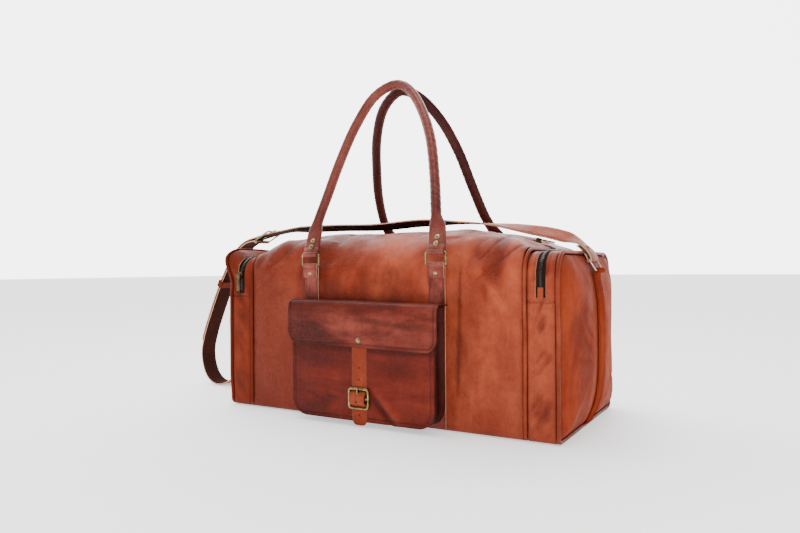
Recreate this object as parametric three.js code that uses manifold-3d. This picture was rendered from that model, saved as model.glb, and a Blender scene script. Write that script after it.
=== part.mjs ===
// Square leather duffel bag with a front pocket, two end pockets, two grab handles and a shoulder strap.
// Millimetres, +X to the right end, -Y to the pocket side, +Z up, origin under the middle of the bag.
import * as THREE from "three";
import { mergeVertices } from "three/addons/utils/BufferGeometryUtils.js";
import Module from "manifold-3d";

const wasm = await Module();
wasm.setup();

// Overall sizes
const LENGTH = 610;
const DEPTH = 296;
const END_HEIGHT = 268;
const SEAM_HEIGHT = 276;
const CROWN_HEIGHT = 308;

// Leather and clearances
const GAP = 0.35;
const WALL = 2.6;
const PIPING_RADIUS = 2.8;

// Body and end pockets
const GUSSET_WIDTH = 41;
const TOP_CORNER = 34;
const BOTTOM_CORNER = 10;
const DOME_DROP = 103;
const END_BULGE = 21;
const BOARD_THICKNESS = 3;
const BOARD_MARGIN = 24;
const LINING = 1.2;
const DIVIDER = 1.8;

// Zips
const MAIN_SLOT = 30;
const END_SLOT = 14;
const END_ZIP_LOW = 202;
const TAPE = 1.4;
const TEETH_WIDTH = 5;
const TEETH_HEIGHT = 1.6;
const SLIDER_LIFT = 1.2;
const SLIDER_PLATE = 3;
const SLIDER_LENGTH = 13;
const SLIDER_WIDTH = 10;
const PULLER_LENGTH = 28;
const PULLER_WIDTH = 7;
const PULLER_THICKNESS = 1.8;
const PIN_RADIUS = 1.1;
const MAIN_SLIDER_X = 225;

// Handles and their rings
const HANDLE_X = 118;
const HANDLE_LEAN = THREE.MathUtils.degToRad(24.7);
const HANDLE_DIAMETER = 15.6;
const HANDLE_END_WIDTH = 28;
const HANDLE_END_THICKNESS = 6.4;
const WIRE_RADIUS = 1.5;
const RING_WIDTH = 34;
const RING_HEIGHT = 19;
const RING_LOW_Z = 250;
const BAND_WIDTH = 28;
const LOOP_WALL = 2.2;
const RIVET_RADIUS = 4.4;
const RIVET_HEIGHT = 1.8;

// Front pocket
const POCKET_WIDTH = 262;
const POCKET_LOW = 8;
const POCKET_HIGH = 188;
const POCKET_CORNER = 28;
const POCKET_PROJECTION = 34;
const FLAP_WIDTH = 274;
const FLAP_TOP = 193.5;
const FLAP_LOW = 124;
const FLAP_CORNER = 22;
const POCKET_STRAP_WIDTH = 28;
const POCKET_STRAP_TIP = 2;
const POCKET_STRAP = 2.2;
const BUCKLE_Z = 44;
const BUCKLE_WIRE = 1.75;
const BUCKLE_HEIGHT = 30;

// Shoulder strap
const STRAP_WIDTH = 38;
const STRAP_THICKNESS = 3.4;
const STRAP_RING_Z = 240;
const STRAP_RING_WIDTH = 45;
const KEEPER_WIDTH = 14;

// Worked out from the driving sizes
const HALF = DEPTH / 2;
const GUSSET_OUT = LENGTH / 2 - 2 * PIPING_RADIUS - 0.6;
const GUSSET_IN = GUSSET_OUT - GUSSET_WIDTH;
const SEAM_X = GUSSET_IN - 2 * PIPING_RADIUS - 0.6;
const CROWN_DROP = CROWN_HEIGHT - SEAM_HEIGHT;
const CROWN_RADIUS = (SEAM_X * SEAM_X + CROWN_DROP * CROWN_DROP) / (2 * CROWN_DROP);
const RING_Y = HALF + GAP + WIRE_RADIUS + GAP + LOOP_WALL;
const LOOP_INNER = WIRE_RADIUS + GAP;
const LOOP_OUTER = LOOP_INNER + LOOP_WALL;
const POCKET_FRONT = HALF + POCKET_PROJECTION;
const FLAP_BACK = POCKET_FRONT + GAP + POCKET_STRAP + GAP + 0.1;
const PANEL_X = LENGTH / 2 - PIPING_RADIUS;
const PANEL_MARGIN = PIPING_RADIUS + 2 * GAP + 1;
const PULLER_EYE = PIN_RADIUS + GAP + 1;
const PIN_HEIGHT = SLIDER_PLATE + PULLER_EYE + GAP;
const PANEL_LOW = 2 * PIPING_RADIUS + 3 * GAP;

// Leather, cloth and metal finishes
function finish(color, roughness, metalness = 0) {
  return new THREE.MeshStandardMaterial({ color, roughness, metalness });
}

const tanLeather = finish(0x9c4a2c, 0.5);
const darkLeather = finish(0x6e2f24, 0.48);
const handleLeather = finish(0x6a3228, 0.45);
const strapLeather = finish(0x9a4f30, 0.52);
const brass = finish(0x8f7a4a, 0.35, 1);
const nickel = finish(0xa9a290, 0.3, 1);
const zipCloth = finish(0x2c1f1b, 0.85);
const zipTeeth = finish(0x1d1715, 0.4);
const canvas = finish(0x8d7a5e, 0.9);
const board = finish(0x5d5348, 0.95);

const bag = new THREE.Group();

function addMesh(parent, name, geometry, material, position = [0, 0, 0], rotation = [0, 0, 0]) {
  const mesh = new THREE.Mesh(geometry, material);
  mesh.name = name;
  mesh.position.set(...position);
  mesh.rotation.set(...rotation);
  parent.add(mesh);
  return mesh;
}

// ---------- solids ----------

function bare(geometry) {
  const copy = geometry.clone();
  copy.deleteAttribute("normal");
  copy.deleteAttribute("uv");
  return mergeVertices(copy, 1e-4);
}

function toSolid(geometry) {
  const merged = bare(geometry);
  const vertProperties = new Float32Array(merged.attributes.position.array);
  const triVerts = new Uint32Array(merged.index.array);
  return new wasm.Manifold(new wasm.Mesh({ numProp: 3, vertProperties, triVerts }));
}

function fromSolid(solid) {
  const mesh = solid.getMesh();
  const geometry = new THREE.BufferGeometry();
  geometry.setAttribute("position", new THREE.BufferAttribute(mesh.vertProperties, 3));
  geometry.setIndex(new THREE.BufferAttribute(mesh.triVerts, 1));
  return geometry;
}

const join = (...parts) => fromSolid(parts.map(toSolid).reduce((whole, part) => whole.add(part)));
const cut = (body, ...tools) => {
  const left = tools.map(toSolid).reduce((rest, tool) => rest.subtract(tool), toSolid(body));
  return fromSolid(left);
};
const common = (one, two) => fromSolid(toSolid(one).intersect(toSolid(two)));

function block(x0, x1, y0, y1, z0, z1) {
  const geometry = new THREE.BoxGeometry(x1 - x0, y1 - y0, z1 - z0);
  return geometry.translate((x0 + x1) / 2, (y0 + y1) / 2, (z0 + z1) / 2);
}

// A cylinder whose axis runs along X or Y through a point
function rod(axis, radius, length, x, y, z, sides = 16) {
  const geometry = new THREE.CylinderGeometry(radius, radius, length, sides);
  if (axis === "x") geometry.rotateZ(Math.PI / 2);
  return geometry.translate(x, y, z);
}

// ---------- lofts, sweeps and extrusions ----------

function faceNormal(points) {
  const normal = new THREE.Vector3();
  points.forEach((p, i) => {
    const q = points[(i + 1) % points.length];
    normal.x += (p.y - q.y) * (p.z + q.z);
    normal.y += (p.z - q.z) * (p.x + q.x);
    normal.z += (p.x - q.x) * (p.y + q.y);
  });
  return normal.normalize();
}

// Triangles over a flat polygon, all turned the way the polygon turns
function capTriangles(points) {
  const normal = faceNormal(points);
  const along = points[1].clone().sub(points[0]).normalize();
  const across = normal.clone().cross(along);
  const flat = points.map((p) => new THREE.Vector2(p.dot(along), p.dot(across)));
  return THREE.ShapeUtils.triangulateShape(flat, []).map(([a, b, c]) => {
    const turn = flat[b].clone().sub(flat[a]).cross(flat[c].clone().sub(flat[a]));
    return turn > 0 ? [a, b, c] : [a, c, b];
  });
}

function outward(geometry) {
  const p = geometry.attributes.position;
  const index = geometry.index.array;
  let volume = 0;
  for (let i = 0; i < index.length; i += 3) {
    const [a, b, c] = [0, 1, 2].map((k) => new THREE.Vector3().fromBufferAttribute(p, index[i + k]));
    volume += a.dot(b.cross(c));
  }
  if (volume < 0) {
    for (let i = 0; i < index.length; i += 3) [index[i], index[i + 1]] = [index[i + 1], index[i]];
  }
  return geometry;
}

// A solid through a list of rings, each a list of points; a closed loft joins its last ring to its first
function loft(rings, closed = false) {
  const count = rings[0].length;
  const index = [];
  const spans = closed ? rings.length : rings.length - 1;
  for (let i = 0; i < spans; i += 1) {
    const near = i * count;
    const far = ((i + 1) % rings.length) * count;
    for (let j = 0; j < count; j += 1) {
      const k = (j + 1) % count;
      index.push(near + j, near + k, far + k, near + j, far + k, far + j);
    }
  }
  if (!closed) {
    const last = (rings.length - 1) * count;
    capTriangles(rings[0]).forEach(([a, b, c]) => index.push(a, c, b));
    capTriangles(rings.at(-1)).forEach(([a, b, c]) => index.push(last + a, last + b, last + c));
  }
  const geometry = new THREE.BufferGeometry();
  const positions = rings.flat().flatMap((p) => [p.x, p.y, p.z]);
  geometry.setAttribute("position", new THREE.Float32BufferAttribute(positions, 3));
  geometry.setIndex(index);
  return outward(geometry);
}

// A section carried along a flat path; across is the direction square to the path's plane
function sweep(path, across, section, closed = false) {
  const count = path.length;
  const rings = path.map((point, i) => {
    const before = closed || i > 0 ? path[(i - 1 + count) % count] : point;
    const after = closed || i < count - 1 ? path[(i + 1) % count] : point;
    const arriving = point.clone().sub(before).normalize();
    const leaving = after.clone().sub(point).normalize();
    const tangent = arriving.clone().add(leaving).normalize();
    const mitre = arriving.lengthSq() > 0 && leaving.lengthSq() > 0 ? 1 / tangent.dot(leaving) : 1;
    const normal = across.clone().cross(tangent);
    const corner = (a, b) => point.clone().addScaledVector(normal, a * mitre).addScaledVector(across, b);
    return section(i / (count - 1)).map(([a, b]) => corner(a, b));
  });
  return loft(rings, closed);
}

function rectangle(thick, wide) {
  const t = thick / 2;
  const w = wide / 2;
  return [[-t, -w], [t, -w], [t, w], [-t, w]];
}

function ellipse(thick, wide, sides) {
  return Array.from({ length: sides }, (_, i) => {
    const angle = ((i + 0.5) / sides) * 2 * Math.PI;
    return [(thick / 2) * Math.cos(angle), (wide / 2) * Math.sin(angle)];
  });
}

// Smooth curve through chosen points, at even steps
function curved(points, steps) {
  const curve = new THREE.CatmullRomCurve3(points, false, "centripetal");
  return curve.getSpacedPoints(steps);
}

const AXIS_X = new THREE.Vector3(1, 0, 0);
const AXIS_Y = new THREE.Vector3(0, 1, 0);
const inXZ = (points, y = 0) => points.map(([x, z]) => new THREE.Vector3(x, y, z));
const inYZ = (points, x = 0) => points.map(([y, z]) => new THREE.Vector3(x, y, z));

function shapeOf(points, holes = []) {
  const shape = new THREE.Shape(points.map(([u, v]) => new THREE.Vector2(u, v)));
  shape.holes = holes.map((hole) => new THREE.Path(hole.map(([u, v]) => new THREE.Vector2(u, v))));
  return shape;
}

// A (y, z) outline carried from x0 to x1
function extrudeX(points, holes, x0, x1) {
  const geometry = new THREE.ExtrudeGeometry(shapeOf(points, holes), { depth: x1 - x0, bevelEnabled: false });
  const frame = new THREE.Matrix4().makeBasis(AXIS_Y, new THREE.Vector3(0, 0, 1), AXIS_X);
  return geometry.applyMatrix4(frame).translate(x0, 0, 0);
}

// An (x, z) outline carried from y1 back to y0
function extrudeY(points, holes, y0, y1) {
  const geometry = new THREE.ExtrudeGeometry(shapeOf(points, holes), { depth: y1 - y0, bevelEnabled: false });
  const upright = new THREE.Vector3(0, 0, 1);
  const forward = new THREE.Vector3(0, -1, 0);
  const frame = new THREE.Matrix4().makeBasis(AXIS_X, upright, forward);
  return geometry.applyMatrix4(frame).translate(0, y1, 0);
}

// Points of a quarter turn about a centre, from one angle to another in degrees
function arc(u, v, radius, from, to, steps) {
  return Array.from({ length: steps + 1 }, (_, i) => {
    const angle = THREE.MathUtils.degToRad(from + ((to - from) * i) / steps);
    return [u + radius * Math.cos(angle), v + radius * Math.sin(angle)];
  });
}

// Upright outline with its own top and bottom corner radii
function archOutline(half, low, high, topRadius, bottomRadius, steps = 5) {
  return [
    ...arc(half - bottomRadius, low + bottomRadius, bottomRadius, -90, 0, steps),
    ...arc(half - topRadius, high - topRadius, topRadius, 0, 90, steps),
    ...arc(topRadius - half, high - topRadius, topRadius, 90, 180, steps),
    ...arc(bottomRadius - half, low + bottomRadius, bottomRadius, 180, 270, steps),
  ];
}

const endOutline = (inset, low = inset) => archOutline(
  HALF - inset,
  low,
  END_HEIGHT - inset,
  Math.max(TOP_CORNER - inset, 2),
  Math.max(BOTTOM_CORNER - inset, 2),
);

// ---------- main body ----------

const crownZ = (x) => CROWN_HEIGHT - CROWN_RADIUS + Math.sqrt(CROWN_RADIUS * CROWN_RADIUS - x * x);

// One side of the top of the body at x: from the zip opening out and down to where the side is upright
function shoulder(x, slotHalf, steps = 8) {
  const fullness = 1 - (x / SEAM_X) ** 2;
  const width = THREE.MathUtils.lerp(TOP_CORNER, HALF, fullness);
  const drop = THREE.MathUtils.lerp(TOP_CORNER, DOME_DROP, fullness);
  const power = THREE.MathUtils.lerp(2, 2.3, fullness);
  const top = crownZ(x);
  const height = (y) => {
    const across = Math.max(0, (y - (HALF - width)) / width);
    return top - drop + drop * Math.max(0, 1 - across ** power) ** (1 / power);
  };
  const fine = Array.from({ length: 201 }, (_, i) => {
    const y = slotHalf + (HALF - slotHalf) * Math.sin((i / 200) * (Math.PI / 2));
    return new THREE.Vector2(y, height(y));
  });
  const line = new THREE.SplineCurve(fine);
  return line.getSpacedPoints(steps).map((p) => [p.x, p.y]);
}

// The leather's outline at x, round under the bag from one edge of the zip opening to the other
function wrapOutline(x, slotHalf) {
  const side = [
    ...shoulder(x, slotHalf),
    ...arc(HALF - BOTTOM_CORNER, BOTTOM_CORNER, BOTTOM_CORNER, 0, -90, 4),
  ];
  const mirrored = side.map(([y, z]) => [-y, z]).reverse();
  return [...side, ...mirrored];
}

function offsetLine(points, distance) {
  return points.map(([u, v], i) => {
    const [pu, pv] = points[Math.max(i - 1, 0)];
    const [nu, nv] = points[Math.min(i + 1, points.length - 1)];
    const length = Math.hypot(nu - pu, nv - pv);
    return [u + ((nv - pv) / length) * distance, v - ((nu - pu) / length) * distance];
  });
}

function bodyWrap() {
  const stations = Array.from({ length: 11 }, (_, i) => -SEAM_X + (2 * SEAM_X * i) / 10);
  const rings = stations.map((x) => {
    const outer = wrapOutline(x, MAIN_SLOT / 2);
    const inner = offsetLine(outer, WALL);
    return [...outer, ...inner.reverse()].map(([y, z]) => new THREE.Vector3(x, y, z));
  });
  return loft(rings);
}

// A strip that follows the crown of the bag, its underside lifted above the crown line by a given height
function crownStrip(halfLength, width, lift, thickness, steps = 14) {
  const points = Array.from({ length: steps + 1 }, (_, i) => {
    const x = -halfLength + (2 * halfLength * i) / steps;
    return [x, crownZ(x) + lift + thickness / 2];
  });
  return sweep(inXZ(points), AXIS_Y, () => rectangle(thickness, width));
}

function lining() {
  const inset = WALL + 2 * GAP + 2;
  const half = HALF - inset;
  const radius = BOTTOM_CORNER - 2;
  const low = WALL + BOARD_THICKNESS + 2 * GAP;
  const high = SEAM_HEIGHT - DOME_DROP + 20;
  const outer = [[half, high], ...arc(half - radius, low + radius, radius, 0, -90, 4)];
  const line = [...outer, ...outer.map(([y, z]) => [-y, z]).reverse()];
  const inner = offsetLine(line, LINING).reverse();
  const reach = SEAM_X - DIVIDER - 4 * GAP - 1;
  return extrudeX([...line, ...inner], [], -reach, reach);
}

addMesh(bag, "body_wrap", bodyWrap(), tanLeather);
const boardHalf = HALF - BOARD_MARGIN;
const boardReach = SEAM_X - DIVIDER - 4;
addMesh(
  bag,
  "base_board",
  block(-boardReach, boardReach, -boardHalf, boardHalf, WALL + GAP, WALL + GAP + BOARD_THICKNESS),
  board,
);
addMesh(bag, "lining", lining(), canvas);

const tapeLift = -TAPE - 0.4;
const teethLift = tapeLift + TAPE + GAP;
const mainTapeReach = SEAM_X - 1;
addMesh(bag, "main_zip_tape", crownStrip(mainTapeReach, MAIN_SLOT - 2 * GAP, tapeLift, TAPE), zipCloth);
addMesh(bag, "main_zip_teeth", crownStrip(mainTapeReach - 4, TEETH_WIDTH, teethLift, TEETH_HEIGHT), zipTeeth);

// ---------- end pockets, one at each end; side is +1 on the right and -1 on the left ----------

const mirrorX = (geometry, side) => (side > 0 ? geometry : fromSolid(toSolid(geometry).mirror([1, 0, 0])));
const END_SLOT_X = (GUSSET_IN + GUSSET_OUT) / 2;

function gusset() {
  const ring = extrudeX(endOutline(0), [endOutline(WALL)], GUSSET_IN, GUSSET_OUT);
  const slotLow = END_SLOT_X - END_SLOT / 2;
  const slotHigh = END_SLOT_X + END_SLOT / 2;
  return cut(ring, block(slotLow, slotHigh, -DEPTH, DEPTH, END_ZIP_LOW, END_HEIGHT * 2));
}

// A U-shaped strip up the front, over the top and down the rear, between two depths below the leather
function endZipStrip(width, outerInset, innerInset, low) {
  const hole = endOutline(innerInset);
  const ring = extrudeX(endOutline(outerInset), [hole], END_SLOT_X - width / 2, END_SLOT_X + width / 2);
  return common(ring, block(GUSSET_IN - 20, GUSSET_OUT + 20, -DEPTH, DEPTH, low, END_HEIGHT * 2));
}

function panelShell() {
  const rim = archOutline(
    HALF - PANEL_MARGIN,
    PANEL_LOW,
    END_HEIGHT - PANEL_MARGIN,
    TOP_CORNER - PANEL_MARGIN,
    BOTTOM_CORNER - PANEL_MARGIN,
    4,
  );
  const middle = END_HEIGHT / 2;
  const scales = [1, 0.93, 0.82, 0.66, 0.42, 0.15];
  const placed = (x, y, z, scale) => new THREE.Vector3(x, y * scale, middle + (z - middle) * scale);
  const ring = (scale, x) => rim.map(([y, z]) => placed(x, y, z, scale));
  const bulge = (scale) => PANEL_X + WALL / 2 + END_BULGE * (1 - scale ** 3.6);
  const outer = scales.map((scale) => ring(scale, bulge(scale)));
  const inner = scales.map((scale) => ring(scale, bulge(scale) - WALL)).reverse();
  return loft([...outer.reverse(), ...inner.reverse()]);
}

// Height profile of the outside of the end panel along its middle
function panelX(z) {
  const middle = END_HEIGHT / 2;
  const scale = Math.min(1, Math.abs(z - middle) / (middle - PANEL_LOW));
  return PANEL_X + WALL / 2 + END_BULGE * (1 - scale ** 3.6);
}

const STRIP_X = panelX(STRAP_RING_Z - 10) + GAP + WALL / 2;
const STRAP_RING_X = panelX(STRAP_RING_Z - 14) + GAP + LOOP_OUTER + 0.6;

function endStrip() {
  const levels = [5, 12, 24, 42, 70, 110, 160, 195, 215, 228];
  const path = levels.map((z) => [panelX(z) + GAP + 0.7 + WALL / 2, z]);
  path.push([STRAP_RING_X - LOOP_INNER - WALL / 2 + 0.2, STRAP_RING_Z]);
  const ribbon = sweep(inXZ(path), AXIS_Y, () => rectangle(WALL, STRAP_WIDTH));
  const loop = rod("y", LOOP_OUTER, STRAP_WIDTH, STRAP_RING_X, 0, STRAP_RING_Z);
  return cut(join(ribbon, loop), rod("y", LOOP_INNER, STRAP_WIDTH + 8, STRAP_RING_X, 0, STRAP_RING_Z));
}

function pipingLoop(x, half, low, high, corner) {
  const path = archOutline(half, low, high, corner, BOTTOM_CORNER - 2, 4);
  return sweep(inYZ(path, x), AXIS_X, () => ellipse(2 * PIPING_RADIUS, 2 * PIPING_RADIUS, 6), true);
}

function slider() {
  const plan = [
    [-SLIDER_WIDTH / 2, SLIDER_LENGTH / 2],
    [-SLIDER_WIDTH / 2, 0],
    [-SLIDER_WIDTH * 0.3, -SLIDER_LENGTH / 2],
    [SLIDER_WIDTH * 0.3, -SLIDER_LENGTH / 2],
    [SLIDER_WIDTH / 2, 0],
    [SLIDER_WIDTH / 2, SLIDER_LENGTH / 2],
  ];
  const plate = new THREE.ExtrudeGeometry(shapeOf(plan), { depth: SLIDER_PLATE, bevelEnabled: false });
  const cheekHeight = PIN_HEIGHT + PIN_RADIUS + 0.6;
  const cheek = (x) => block(x - 0.7, x + 0.7, -3, 3, SLIDER_PLATE - 0.5, cheekHeight);
  const cheekX = SLIDER_WIDTH * 0.38;
  const pin = rod("x", PIN_RADIUS, 2 * cheekX, 0, 0, PIN_HEIGHT, 8);
  return join(plate, cheek(-cheekX), cheek(cheekX), pin);
}

// The puller hangs towards -Y from its eye, round the slider's pin
function puller() {
  const eyeWidth = SLIDER_WIDTH * 0.76 - 1.4 - 2 * GAP;
  const eye = rod("x", PULLER_EYE, eyeWidth, 0, 0, 0, 12);
  const neck = block(-eyeWidth / 2, eyeWidth / 2, -9, 0, -PULLER_THICKNESS / 2, PULLER_THICKNESS / 2);
  const blade = new THREE.CylinderGeometry(PULLER_WIDTH / 2, PULLER_WIDTH / 2, PULLER_THICKNESS, 16);
  blade.rotateX(Math.PI / 2).translate(0, -PULLER_LENGTH + PULLER_WIDTH / 2, 0);
  const half = PULLER_WIDTH / 2;
  const plate = block(-half, half, -PULLER_LENGTH + half, -8, -PULLER_THICKNESS / 2, PULLER_THICKNESS / 2);
  return cut(join(eye, neck, plate, blade), rod("x", PIN_RADIUS + GAP, eyeWidth + 4, 0, 0, 0, 12));
}

// A slider and its puller, standing on the zip: travel is the way the slider's wide end points
function addSlider(prefix, foot, across, travel) {
  const holder = new THREE.Group();
  const out = across.clone().cross(travel);
  holder.matrixAutoUpdate = false;
  holder.matrix.makeBasis(across, travel, out).setPosition(foot);
  bag.add(holder);
  addMesh(holder, `${prefix}_slider`, slider(), brass);
  addMesh(holder, `${prefix}_puller`, puller(), brass, [0, 0, PIN_HEIGHT]);
}

for (const side of [1, -1]) {
  const where = side > 0 ? "right" : "left";
  addMesh(bag, `gusset_${where}`, mirrorX(gusset(), side), tanLeather);
  const tape = endZipStrip(END_SLOT - 2 * GAP, 0.4, 0.4 + TAPE, END_ZIP_LOW + GAP);
  addMesh(bag, `end_zip_tape_${where}`, mirrorX(tape, side), zipCloth);
  const teeth = endZipStrip(TEETH_WIDTH, 0.4 - GAP - TEETH_HEIGHT, 0.4 - GAP, END_ZIP_LOW + 4);
  addMesh(bag, `end_zip_teeth_${where}`, mirrorX(teeth, side), zipTeeth);
  addMesh(bag, `end_panel_${where}`, mirrorX(panelShell(), side), tanLeather);
  addMesh(bag, `end_strip_${where}`, mirrorX(endStrip(), side), strapLeather);
  const inner = pipingLoop(
    side * (SEAM_X + GUSSET_IN) / 2,
    HALF - 1,
    PIPING_RADIUS + GAP,
    (SEAM_HEIGHT + END_HEIGHT) / 2 - 1,
    TOP_CORNER,
  );
  addMesh(bag, `piping_inner_${where}`, inner, tanLeather);
  const outer = pipingLoop(side * PANEL_X, HALF - 1, PIPING_RADIUS + GAP, END_HEIGHT - 1, TOP_CORNER);
  addMesh(bag, `piping_outer_${where}`, outer, tanLeather);

  const dividerInset = WALL + GAP + 0.2;
  const dividerX = side * (SEAM_X - GAP - DIVIDER / 2 - 0.5);
  const divider = extrudeX(
    archOutline(HALF - dividerInset, dividerInset, END_HEIGHT - dividerInset, TOP_CORNER, BOTTOM_CORNER, 4),
    [],
    dividerX - DIVIDER / 2,
    dividerX + DIVIDER / 2,
  );
  addMesh(bag, `divider_${where}`, divider, canvas);

  // The left zip is closed towards the front and the right one towards the rear
  const front = side < 0 ? -1 : 1;
  const footLift = TEETH_HEIGHT + GAP - 0.4 + SLIDER_LIFT;
  const foot = new THREE.Vector3(side * END_SLOT_X, front * (HALF + footLift), END_HEIGHT - TOP_CORNER);
  addSlider(`end_${where}`, foot, new THREE.Vector3(-front, 0, 0), new THREE.Vector3(0, 0, 1));
}

const mainAngle = Math.asin(MAIN_SLIDER_X / CROWN_RADIUS);
const mainLift = teethLift + TEETH_HEIGHT + SLIDER_LIFT;
const mainOut = new THREE.Vector3(Math.sin(mainAngle), 0, Math.cos(mainAngle));
const mainFoot = new THREE.Vector3(0, 0, CROWN_HEIGHT - CROWN_RADIUS);
mainFoot.addScaledVector(mainOut, CROWN_RADIUS + mainLift);
const mainTravel = new THREE.Vector3(-Math.cos(mainAngle), 0, Math.sin(mainAngle));
addSlider("main_zip", mainFoot, AXIS_Y.clone(), mainTravel);

// ---------- handles, their rings and their bands ----------

function wireRing(width, height, radius, corner = 2.4, sides = 6) {
  const path = archOutline(width / 2, 0, height, corner, corner, 2);
  return sweep(inXZ(path), AXIS_Y, () => ellipse(2 * radius, 2 * radius, sides), true);
}

function band() {
  const flat = HALF + GAP + WALL / 2;
  const ringFoot = [-(RING_Y - LOOP_INNER - WALL / 2 + 0.2), RING_LOW_Z];
  const path = [[-flat, 6], [-flat, BOTTOM_CORNER], [-flat, RING_LOW_Z - 28], ringFoot];
  const ribbon = sweep(inYZ(path), AXIS_X, () => rectangle(WALL, BAND_WIDTH));
  const loop = rod("x", LOOP_OUTER, BAND_WIDTH, 0, -RING_Y, RING_LOW_Z);
  const trimmed = cut(join(ribbon, loop), rod("x", LOOP_INNER, BAND_WIDTH + 8, 0, -RING_Y, RING_LOW_Z));
  return cut(trimmed, block(-40, 40, -HALF - 40, 0, -10, BOTTOM_CORNER));
}

// Handle shapes in their own planes: x along the bag, z from the ring's upper bar; the tops sag to the left
const frontHandlePath = [
  [-118, 9], [-121, 34], [-122, 60], [-117, 114], [-110, 186], [-98, 255], [-77, 312], [-57, 331],
  [-34, 338], [-12, 330], [8, 311], [37, 268], [65, 209], [89, 131], [105, 66], [114, 34], [118, 9],
];
const rearHandlePath = [
  [-118, 9], [-127, 34], [-139, 70], [-139, 128], [-128, 189], [-112, 248], [-88, 296], [-64, 320],
  [-38, 332], [-18, 327], [4, 310], [32, 269], [54, 210], [70, 135], [85, 74], [104, 34], [118, 9],
];

function handle(points) {
  const path = curved(inXZ(points), 44);
  const flatten = (share) => {
    const fromEnd = Math.min(share, 1 - share);
    return THREE.MathUtils.smoothstep(fromEnd, 0.04, 0.085);
  };
  const section = (share) => {
    const round = flatten(share);
    const thick = THREE.MathUtils.lerp(HANDLE_END_THICKNESS, HANDLE_DIAMETER, round);
    const wide = THREE.MathUtils.lerp(HANDLE_END_WIDTH, HANDLE_DIAMETER, round);
    return ellipse(wide, thick, 8);
  };
  const tube = sweep(path, AXIS_Y, section);
  const foot = (x) => join(
    rod("x", LOOP_OUTER, HANDLE_END_WIDTH, x, 0, 0),
    block(x - HANDLE_END_WIDTH / 2, x + HANDLE_END_WIDTH / 2, -2.2, 2.2, 0, 12),
  );
  const whole = join(tube, foot(-HANDLE_X), foot(HANDLE_X));
  const bore = (x) => rod("x", LOOP_INNER, HANDLE_END_WIDTH + 8, x, 0, 0);
  return cut(whole, bore(-HANDLE_X), bore(HANDLE_X));
}

// A domed rivet head with its back flat on z = 0, pointing along +Z
function rivet() {
  const r = RIVET_RADIUS;
  const profile = [[0, 0], [r, 0], [r, 0.6], [r * 0.8, 1.4], [0, RIVET_HEIGHT]];
  const turned = new THREE.LatheGeometry(profile.map(([x, y]) => new THREE.Vector2(x, y)), 14);
  return bare(turned).rotateX(Math.PI / 2);
}

for (const front of [1, -1]) {
  const face = front > 0 ? "front" : "rear";
  const half = new THREE.Group();
  half.rotation.z = front > 0 ? 0 : Math.PI;
  bag.add(half);
  const upper = new THREE.Group();
  upper.position.set(0, -RING_Y, RING_LOW_Z + RING_HEIGHT);
  upper.rotation.x = -HANDLE_LEAN;
  half.add(upper);
  const points = front > 0 ? frontHandlePath : rearHandlePath.map(([x, z]) => [-x, z]).reverse();
  addMesh(upper, `handle_${face}`, handle(points), handleLeather);
  for (const side of [1, -1]) {
    const where = side * front > 0 ? "right" : "left";
    const x = side * HANDLE_X;
    addMesh(half, `band_${face}_${where}`, band(), darkLeather, [x, 0, 0]);
    const ring = wireRing(RING_WIDTH, RING_HEIGHT, WIRE_RADIUS);
    addMesh(half, `ring_${face}_${where}`, ring, brass, [x, -RING_Y, RING_LOW_Z]);
    const rivetY = -(RING_Y - LOOP_INNER + 0.2 + GAP) - 0.35;
    addMesh(half, `band_rivet_${face}_${where}`, rivet(), brass, [x, rivetY, 239], [Math.PI / 2, 0, 0]);
  }
}

// ---------- front pocket ----------

const pocketOutline = (inset, high = POCKET_HIGH) => archOutline(
  POCKET_WIDTH / 2 - inset,
  POCKET_LOW + inset,
  high,
  3,
  POCKET_CORNER - inset,
);

// The pocket's side and bottom wall, open at the top
function pocketGusset() {
  const front = -(POCKET_FRONT - WALL - GAP);
  const back = -(HALF + GAP + WALL + GAP);
  const room = extrudeY(pocketOutline(WALL, POCKET_HIGH + 20), [], front - 5, back + 5);
  return cut(extrudeY(pocketOutline(0), [], front, back), room);
}

function pocketFlap() {
  const outer = FLAP_BACK + WALL / 2;
  const hinge = HALF + GAP + WALL + GAP + 1;
  const path = [
    [-hinge, FLAP_TOP],
    [-(outer - 7), FLAP_TOP],
    [-(outer - 2), FLAP_TOP - 2],
    [-outer, FLAP_TOP - 7],
    [-outer, FLAP_LOW],
  ];
  const sheet = sweep(inYZ(path), AXIS_X, () => rectangle(WALL, FLAP_WIDTH));
  const outline = archOutline(FLAP_WIDTH / 2, FLAP_LOW, FLAP_TOP + 30, 2, FLAP_CORNER, 5);
  return common(sheet, extrudeY(outline, [], -outer - 9, -HALF));
}

// Distance of each part of the buckle from the middle of the bag
const chapeLeaf = 1.1;
const prongEye = BUCKLE_WIRE + GAP + 1.3;
const barY = POCKET_FRONT + GAP + chapeLeaf + GAP + prongEye;
const chapeLoop = BUCKLE_WIRE + GAP + 1.7;

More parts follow.
